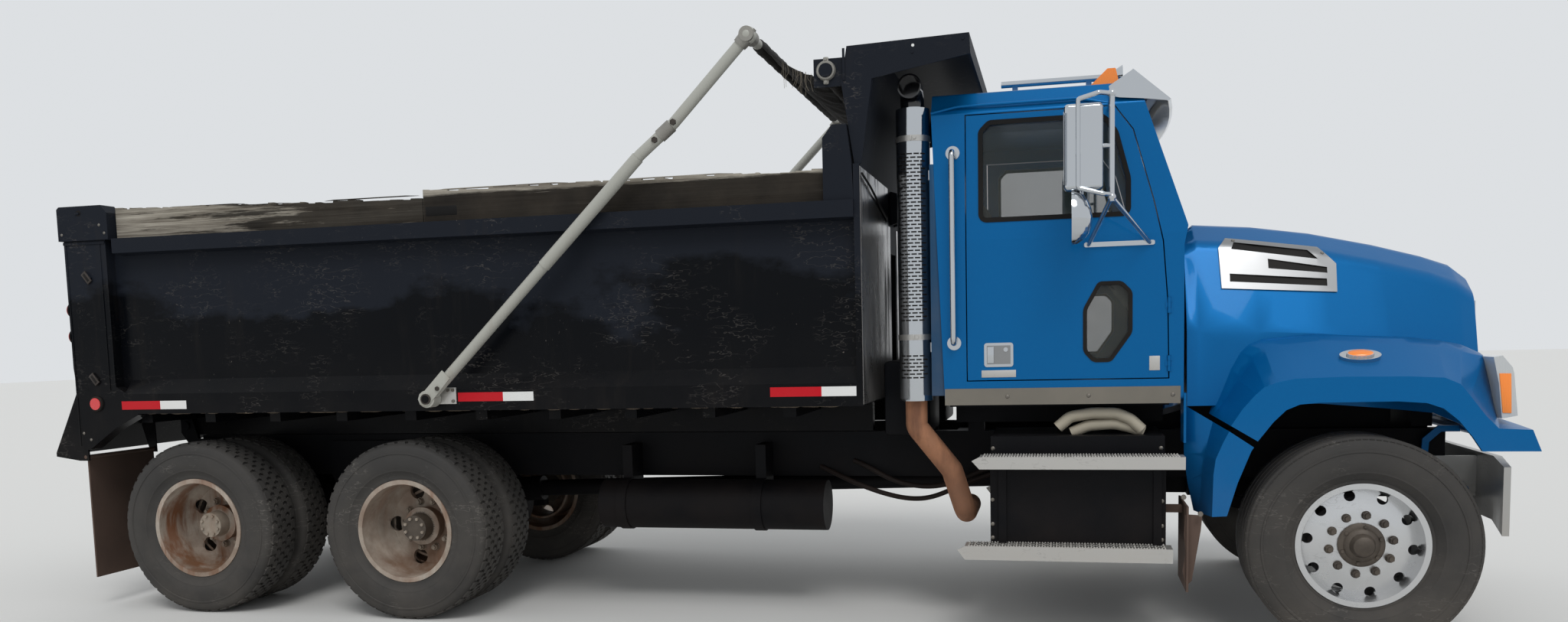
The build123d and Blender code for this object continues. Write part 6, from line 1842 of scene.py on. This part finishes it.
    def _windscreen(self, truck: Truck) -> None:
        """Two wipers lying on the windscreen, and its middle seal."""
        seal = Shape("windscreen_seal")
        for vert in seal.band(self.windscreen, Facing.FRONT, -0.004, 0.010, 0.030, 0.03):
            vert.co.x += at(-772 - 218 * (vert.co.z - 2.080) / 0.658)
        seal.finish(truck, "cab", "seal rubber")
        bolts = Shape("sill_bolts")
        for side in Side:
            for x in (-1655, -1249, -842):
                bolts.ball((at(x), side.value * 1.004, 1.243), (0.011, 0.005, 0.011), 6)
        bolts.finish(truck, "cab", "worn bolt")
        wipers = Shape("wipers")
        for side in Side:
            sign = side.value
            foot, tip = Vector((at(-765), sign * 0.62, 2.078)), Vector((at(-862), sign * 0.25, 2.345))
            wipers.rod(foot, foot + Vector((0.0, 0.0, 0.03)), 0.013, 16)
            wipers.tube([foot + Vector((0.004, 0, 0.018)), (foot + tip) / 2 + Vector((0.022, 0, 0.012)),
                tip + Vector((0.012, 0, 0.0))], 0.005, 0.05)
            start, end = Vector((at(-790), sign * 0.47, 2.150)), Vector((at(-930), sign * 0.06, 2.570))
            wipers.rod(start + Vector((0.007, 0, 0)), end + Vector((0.007, 0, 0)), 0.0055, 8)
        wipers.finish(truck, "cab", "moulded black")

    def _roof(self, truck: Truck) -> None:
        """The roof lamps' fairings."""
        fairings = Shape("roof_lamp_fairings")
        low_corner, high_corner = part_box("roof_markers")
        for y in (-0.82, -0.22, 0.0, 0.22, 0.82):
            if abs(y) > high_corner[1]:
                continue
            fairings.ball((low_corner[0] + 0.02, y, 2.862), (0.055, 0.045, 0.026), 8)
        fairings.finish(truck, "roof_markers", "blue paint")


@dataclass
class Nose:
    """The hood's bolts, vent meshes and lamps, the splash panels' bolts and the torn flap strip."""

    vent_bolts: tuple[Pair, ...] = ((-527, 2.012), (-101, 1.932), (-547, 1.818), (-34, 1.773))
    slots: tuple[tuple[Pair, ...], ...] = (((-540, 1969), (-525, 2005), (-170, 1952), (-123, 1904)),
        ((-365, 1913), (-82, 1862), (-82, 1832), (-364, 1864)), ((-552, 1843), (-86, 1803), (-86, 1766),
        (-552, 1802)))
    mesh_depth: float = 0.02
    mesh_margin: float = 0.009
    marker_z: float = 1.405
    nose_x: float = 3.7

    def build(self, truck: Truck) -> None:
        """Builds the fittings of both sides."""
        self._lamps(truck)
        self._vent(truck)
        for side in Side:
            self._splash(truck, side)
            self._torn_flap(truck, side)

    def _lamps(self, truck: Truck) -> None:
        """Clear headlamps with amber ends, and amber markers on chrome feet."""
        body = "headlamps"
        truck.split(body, lambda middle: middle.x > self.nose_x, ("headlamp_lenses", "lamp lens", 30),
            ("marker_feet", "chrome", 40))
        amber = Shape("amber_lenses")
        for side in Side:
            sign = side.value
            normal = Vector((0.0, sign * 0.55, 0.835)).normalized()
            centre = Vector((FRONT_AXLE_X, sign * 1.062, self.marker_z)) + normal * 0.031
            verts = amber.ball((0.0, 0.0, 0.0), (0.0625, 0.0305, 0.0125), 10)
            turn = normal.to_track_quat("Z", "X").to_matrix().to_4x4() @ Matrix.Rotation(math.radians(90), 4, "Z")
            bmesh.ops.transform(amber.mesh, matrix=Matrix.Translation(centre) @ turn, verts=verts)
            amber.panel(side, ((585, 1328), (635, 1327), (641, 1142), (603, 1143)), 1.101, 1.1095, 0.003)
        amber.finish(truck, body, "amber lens")

    def _vent(self, truck: Truck) -> None:
        """The vent frames in satin metal with their bolts, and the grille in chrome."""
        body = "grille"
        frames = truck.copy("vent_frames", "grille")
        frames.keep(lambda middle: middle.x < self.nose_x)
        nose = truck.copy("grille_bars", "grille")
        nose.keep(lambda middle: middle.x >= self.nose_x)
        tree = BVHTree.FromBMesh(frames.mesh)
        bolts = Shape("vent_bolts")
        for side in Side:
            for x, z in self.vent_bolts:
                hit = side.first_hit(tree, at(x), z)
                if hit is not None:
                    bolts.ball(hit, (0.009, 0.005, 0.009), 6)
        meshes = Shape("vent_meshes")
        for side in Side:
            for outline in self.slots:
                middle = [sum(corner[axis] for corner in outline) / 4 for axis in (0, 1)]
                verts = meshes.plate(ahead(*outline), Facing.SIDE, *side.span(0.60, 0.61))
                for vert in verts:
                    deep = 0.0 if abs(vert.co.y) > 0.605 else self.mesh_depth
                    out = (vert.co.x - at(middle[0]), vert.co.z - middle[1] / 1000)
                    reach = math.hypot(*out) / self.mesh_margin
                    hit = side.first_hit(tree, vert.co.x + out[0] / reach, vert.co.z + out[1] / reach)
                    vert.co.y = side.value * (abs(hit.y if hit is not None else 0.71) - 0.005 - deep)
        meshes.finish(truck, body, "seal rubber")
        frames.finish(truck, body, "satin trim", ("grille",), 35)
        nose.finish(truck, body, "chrome", crease=35)
        bolts.finish(truck, body, "worn bolt")

    def _splash(self, truck: Truck, side: Side) -> None:
        """Two bolts on the splash panel behind the wheel."""
        bolts = Shape(f"splash_bolts_{side.word}")
        for x, z in ((-806, 0.751), (-728, 0.669)):
            bolts.pin(side, x, z, 1.19, 1.2045, 0.012, 16)
        bolts.finish(truck, "splash_panels", "worn bolt")

    def _torn_flap(self, truck: Truck, side: Side) -> None:
        """The ragged strip hanging at the front flap's outer edge."""
        if side is Side.LEFT:
            return
        strip = Shape("torn_flap_strip")
        strip.panel(side, ((-795, 660), (-800, 560), (-792, 470), (-806, 380), (-790, 300), (-762, 330), (-748, 420),
            (-735, 500), (-722, 580), (-715, 655)), 1.150, 1.162, 0.001)
        strip.finish(truck, "front_flaps", "flap rubber")


@dataclass
class Undercarriage:
    """Step treads, box bolts, the pale duct, the oil tanks and the flap clamps below the cab and the bed."""

    treads: tuple[tuple[float, float, float], ...] = ((0.950, -1788, -800), (0.495, -1865, -856))
    tooth: float = 14.0
    step_y: Pair = (1.106, 1.220)
    hanger_y: float = 1.1125

    def build(self, truck: Truck) -> None:
        """Builds everything below."""
        truck.split("steps", lambda middle: abs(middle.y) > self.hanger_y, ("step_boards", "bare alloy", 30),
            ("step_hangers", "frame paint", 30))
        for side in Side:
            self._treads(truck, side)
            self._oil_tank(truck, side)
        self._box(truck)
        self._duct(truck)
        self._flap_clamps(truck)

    def _treads(self, truck: Truck, side: Side) -> None:
        """Toothed strips on both steps, and painted shade in the steps' holes."""
        strips = Shape(f"step_teeth_{side.word}")
        for top, rear, front in self.treads:
            count = int((front - rear - 30) / self.tooth)
            for y in (self.step_y[0], (self.step_y[0] + self.step_y[1]) / 2, self.step_y[1] - 0.004):
                corners = [(rear + 15, top * 1000 - 2)]
                for number in range(count):
                    start = rear + 15 + number * self.tooth
                    corners += [(start + 1, top * 1000 + 1), (start + 4, top * 1000 + 7), (start + 8, top * 1000 + 7),
                        (start + 11, top * 1000 + 1)]
                corners.append((rear + 15 + count * self.tooth, top * 1000 - 2))
                strips.plate(list(reversed(ahead(*corners))), Facing.SIDE, *side.span(y, y + 0.004))
        strips.finish(truck, "steps", "bare alloy")
        # Dark boxes on the step tops: painted shade in the steps' holes.
        holes = Shape(f"step_holes_{side.word}")
        for top, rear, front in self.treads:
            for row, y in enumerate((1.116, 1.145, 1.176, 1.203)):
                for number in range(int((front - rear - 40) / 34)):
                    x = rear + 34 + number * 34 + 17 * (row % 2)
                    holes.block(side, (x - 11, x + 11), (y - 0.008, y + 0.008), (top - 0.001, top + 0.0007))
        holes.finish(truck, "steps", "seal rubber")

    def _oil_tank(self, truck: Truck, side: Side) -> None:
        """A dark tank on the frame between the cab and the bed."""
        tank = Shape(f"hoist_oil_tank_{side.word}")
        tank.block(side, (-2335, -2085), (0.20, 0.74), (1.022, 1.430), 0.02)
        tank.rod((at(-2210), side.value * 0.5, 1.428), (at(-2210), side.value * 0.5, 1.455), 0.035, 24)
        tank.finish(truck, "frame_rails", "frame paint")

    def _box(self, truck: Truck) -> None:
        """The battery box's bolts and the tank's cap."""
        bolts = Shape("box_bolts")
        for z, y in ((0.975, -1.020), (0.717, -1.100), (0.591, -1.100), (0.520, -1.100)):
            for x in (-1730, -898):
                bolts.ball((at(x), y, z), (0.011, 0.006, 0.011), 6)
        bolts.finish(truck, "battery_box", "worn bolt")
        cap = Shape("tank_cap")
        cap.turn([(0.0, 0.0), (0.052, 0.0), (0.055, 0.006), (0.055, 0.026), (0.048, 0.034), (0.0, 0.036)],
            (2.30, 0.90, 1.035), (0, 0.35, 1), 36, closed=False)
        cap.finish(truck, "fuel_tank", "bare alloy")

    def _duct(self, truck: Truck) -> None:
        """The pale heater duct under the cab's floor."""
        duct = Shape("heater_duct")
        for y, route in ((-0.925, ((-1402, 1.075), (-1340, 1.130), (-1230, 1.148), (-1110, 1.146), (-1040, 1.115),
                (-985, 1.060))), (-0.900, ((-1335, 1.045), (-1250, 1.082), (-1120, 1.092), (-1030, 1.070),
                (-975, 1.045)))):
            duct.tube([(at(x), y, z) for x, z in route], 0.030, 0.05, 8, 6)
        duct.finish(truck, "cab", "pale duct")

    def _flap_clamps(self, truck: Truck) -> None:
        """Clamp bars and bolts along the tops of the rear flaps."""
        low_corner, high_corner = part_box("rear_flaps")
        x = (low_corner[0] + high_corner[0]) / 2
        bars = Shape("flap_clamps")
        for side in Side:
            low, high = side.span(0.66, 1.10)
            bars.box((x - 0.0105, low, 0.872), (x - 0.0052, high, 0.905), 0.001)
            for y in (0.72, 0.88, 1.04):
                bars.rod((x - 0.0105, side.value * y, 0.888), (x - 0.018, side.value * y, 0.888), 0.010, 6)
        bars.finish(truck, "rear_flaps", "worn bolt")


@dataclass
class Hoses:
    """Two rubber hoses that sag between the air tank and the exhaust."""

    routes: dict[str, tuple[Point, ...]] = field(default_factory=lambda: {
        "air_hose": ((0.600, -0.4355, 0.815), (0.700, -0.4750, 0.775), (0.820, -0.4980, 0.722),
            (0.970, -0.5050, 0.668), (1.120, -0.5050, 0.634), (1.250, -0.5050, 0.640), (1.380, -0.5050, 0.694),
            (1.500, -0.5050, 0.748), (1.621, -0.5050, 0.790)),
        "brake_hose": ((0.800, -0.4355, 0.850), (0.890, -0.4700, 0.815), (1.000, -0.4900, 0.755),
            (1.120, -0.4950, 0.715), (1.250, -0.4950, 0.702), (1.380, -0.4950, 0.726), (1.500, -0.4950, 0.780),
            (1.621, -0.4950, 0.830))})
    lengths: dict[str, float] = field(default_factory=lambda: {"air_hose": 1.089, "brake_hose": 0.878})
    diameter: float = 0.028

    def build(self, truck: Truck) -> None:
        """Builds both hoses as smooth curves."""
        for name, route in self.routes.items():
            line = round_line(name, route, self.diameter / 2, 6, 12)
            line.materials.append(truck.palette["hose rubber"])
            hose = add_object(name, line)
            truck.palette.slot("hose rubber").value
            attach(hose, truck.body["frame_rails"])
            route[0]
            self.lengths[name]


@dataclass
class Seats:
    """Two padded seats with sewn channels on plain moulded bases."""

    y_range: Pair = (0.222, 0.718)
    cushion: tuple[Pair, ...] = ((-1788, 1540), (-1300, 1540), (-1294, 1656), (-1716, 1640))
    back: tuple[Pair, ...] = ((-1712, 1650), (-1838, 2250), (-1788, 2276), (-1618, 1672))
    voxel: float = 0.009
    cap: float = 0.014
    pressure: float = 4.0
    frames: int = 20
    channel_width: float = 0.011
    channel_depth: float = 0.009

    def build(self, truck: Truck) -> None:
        """Builds both seats; the left one is the right one mirrored."""
        body = "seats"
        base = Shape("seat_bases")
        for side in Side:
            base.block(side, (-1780, -1330), (0.270, 0.670), (1.266, 1.545), 0.012)
        base.finish(truck, body, "dash plastic", ("seats",))
        for name, outline, channels in (("seat_cushion", self.cushion, ((0, at(-1560)), (0, at(-1430)))),
                ("seat_back", self.back, ((2, 1.86), (2, 2.06)))):
            low, high = -self.y_range[1], -self.y_range[0]
            pad = Shape(f"{name}_right")
            pad.plate(ahead(*outline), Facing.SIDE, low, high, 0.014)
            right = pad.finish(truck, body, "seat cloth")
            self._plump(right, channels)
            mesh = bmesh.new()
            mesh.from_mesh(right.data)
            other = Shape(f"{name}_left")
            bmesh.ops.scale(mesh, vec=(1.0, -1.0, 1.0), verts=mesh.verts)
            bmesh.ops.reverse_faces(mesh, faces=mesh.faces)
            other.mesh = mesh
            left = other.finish(truck, body, "seat cloth", crease=80)
            for piece in (right, left):
                soft = piece.modifiers.new("soft", "SUBSURF")
                soft.levels = soft.render_levels = 1

    def _plump(self, piece: bpy.types.Object, channels: Sequence[tuple[int, float]]) -> None:
        """Swells a closed mesh as sewn padding, and presses the sewn channels in.

        Args:
            piece: The pad's object.
            channels: Each channel's axis and place along it.
        """
        even = piece.modifiers.new("even mesh", "REMESH")
        even.mode = "VOXEL"
        even.voxel_size = self.voxel
        self._bake(piece)
        rest = [vert.co.copy() for vert in piece.data.vertices]
        cloth = piece.modifiers.new("cloth", "CLOTH")
        cloth.settings.use_pressure = True
        cloth.settings.uniform_pressure_force = self.pressure
        cloth.settings.effector_weights.gravity = 0.0
        for frame in range(1, self.frames + 1):
            bpy.context.scene.frame_set(frame)
        self._bake(piece)
        bpy.context.scene.frame_set(1)
        for vert, start in zip(piece.data.vertices, rest):
            move = vert.co - start
            if move.length > self.cap:
                vert.co = start + move.normalized() * self.cap
            for axis, place in channels:
                press = math.exp(-(((vert.co[axis] - place) / self.channel_width) ** 2)) * self.channel_depth
                vert.co = vert.co - vert.normal * press

    @staticmethod
    def _bake(piece: bpy.types.Object) -> None:
        """Applies the piece's modifiers to its mesh."""
        bpy.context.view_layer.update()
        drawn = piece.evaluated_get(bpy.context.evaluated_depsgraph_get())
        mesh = bpy.data.meshes.new_from_object(drawn)
        mesh.name = piece.name
        piece.modifiers.clear()
        piece.data = mesh
        for polygon in mesh.polygons:
            polygon.use_smooth = True


@dataclass
class Studio:
    """The floor, the light and the camera."""

    floor_half: float = 60.0
    floor_colour: Colour = tint(214, 213, 210)
    sky_colour: Colour = tint(226, 229, 232)
    sky_strength: float = 0.95
    sun_strength: float = 1.1
    sun_size: float = 25
    sun_turn: Point = (38, 0, 20)
    eye: Point = (1.9704, -7.2088, 1.5778)
    yaw: float = 0.2414
    pitch: float = -0.0908
    roll: float = -0.0254
    sensor: float = 36.0
    focal_px: float = 1538.26
    centre_px: Pair = (1007.43, 581.34)
    frame_px: Pair = (2048.0, 813.0)

    def build(self) -> None:
        """Adds everything of the studio."""
        self._floor()
        self._sky()
        self._sun()
        self._camera()
        bpy.context.scene.view_settings.view_transform = "Standard"

    def _floor(self) -> None:
        """A plain pale floor."""
        shape = bmesh.new()
        bmesh.ops.create_grid(shape, x_segments=1, y_segments=1, size=self.floor_half)
        mesh = bpy.data.meshes.new("floor")
        shape.to_mesh(mesh)
        shape.free()
        floor = add_object("floor", mesh)
        material, tree, shader = Tree.surface("floor")
        shader.inputs["Roughness"].default_value = 0.95
        tree.feed(shader.inputs["Base Color"], self.floor_colour)
        mesh.materials.append(material)
        floor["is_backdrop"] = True

    def _sky(self) -> None:
        """An even pale sky."""
        world = bpy.data.worlds.new("sky")
        world.use_nodes = True
        bpy.context.scene.world = world
        tree = Tree(world.node_tree)
        ground = tree.add("ShaderNodeBackground")
        tree.feed(ground.inputs["Color"], self.sky_colour)
        ground.inputs["Strength"].default_value = self.sky_strength
        tree.feed(tree.add("ShaderNodeOutputWorld").inputs["Surface"], ground.outputs[0])

    def _sun(self) -> None:
        """A soft sun from above and in front of the viewer's side."""
        lamp = bpy.data.lights.new("soft sun", "SUN")
        lamp.energy = self.sun_strength
        lamp.angle = math.radians(self.sun_size)
        sun = add_object("soft sun", lamp)
        sun.rotation_euler = [math.radians(angle) for angle in self.sun_turn]

    def _camera(self) -> None:
        """The camera at the photograph's place."""
        side = Vector((math.cos(self.yaw), math.sin(self.yaw), 0.0))
        level = Vector((-math.sin(self.yaw), math.cos(self.yaw), 0.0))
        tipped = level * math.cos(self.pitch) + UP * math.sin(self.pitch)
        raised = UP * math.cos(self.pitch) - level * math.sin(self.pitch)
        right = side * math.cos(self.roll) + raised * math.sin(self.roll)
        above = raised * math.cos(self.roll) - side * math.sin(self.roll)
        lens = bpy.data.cameras.new("camera")
        width, height = self.frame_px
        lens.sensor_width = self.sensor
        lens.lens = self.focal_px / width * lens.sensor_width
        lens.shift_x = (width / 2 - self.centre_px[0]) / width
        lens.shift_y = (self.centre_px[1] - height / 2) / width
        lens.clip_end = 200.0
        camera = add_object("camera", lens)
        turn = Matrix((right, above, -tipped)).transposed().to_4x4()
        camera.matrix_world = Matrix.Translation(self.eye) @ turn
        bpy.context.scene.camera = camera


def main() -> None:
    """Builds the truck's looks in order."""
    logging.basicConfig(level=logging.INFO, format="%(name)s: %(message)s")
    truck = Truck()
    Studio().build()
    for part in (Hoses(), Skins(), Wheels(), Bed(), Tarp(), Stack(), Cab(), Nose(), Undercarriage(), Seats()):
        started = time.monotonic()
        part.build(truck)
        log.info("%s took %.1f s", type(part).__name__, time.monotonic() - started)


if __name__ == "__main__":
    main()
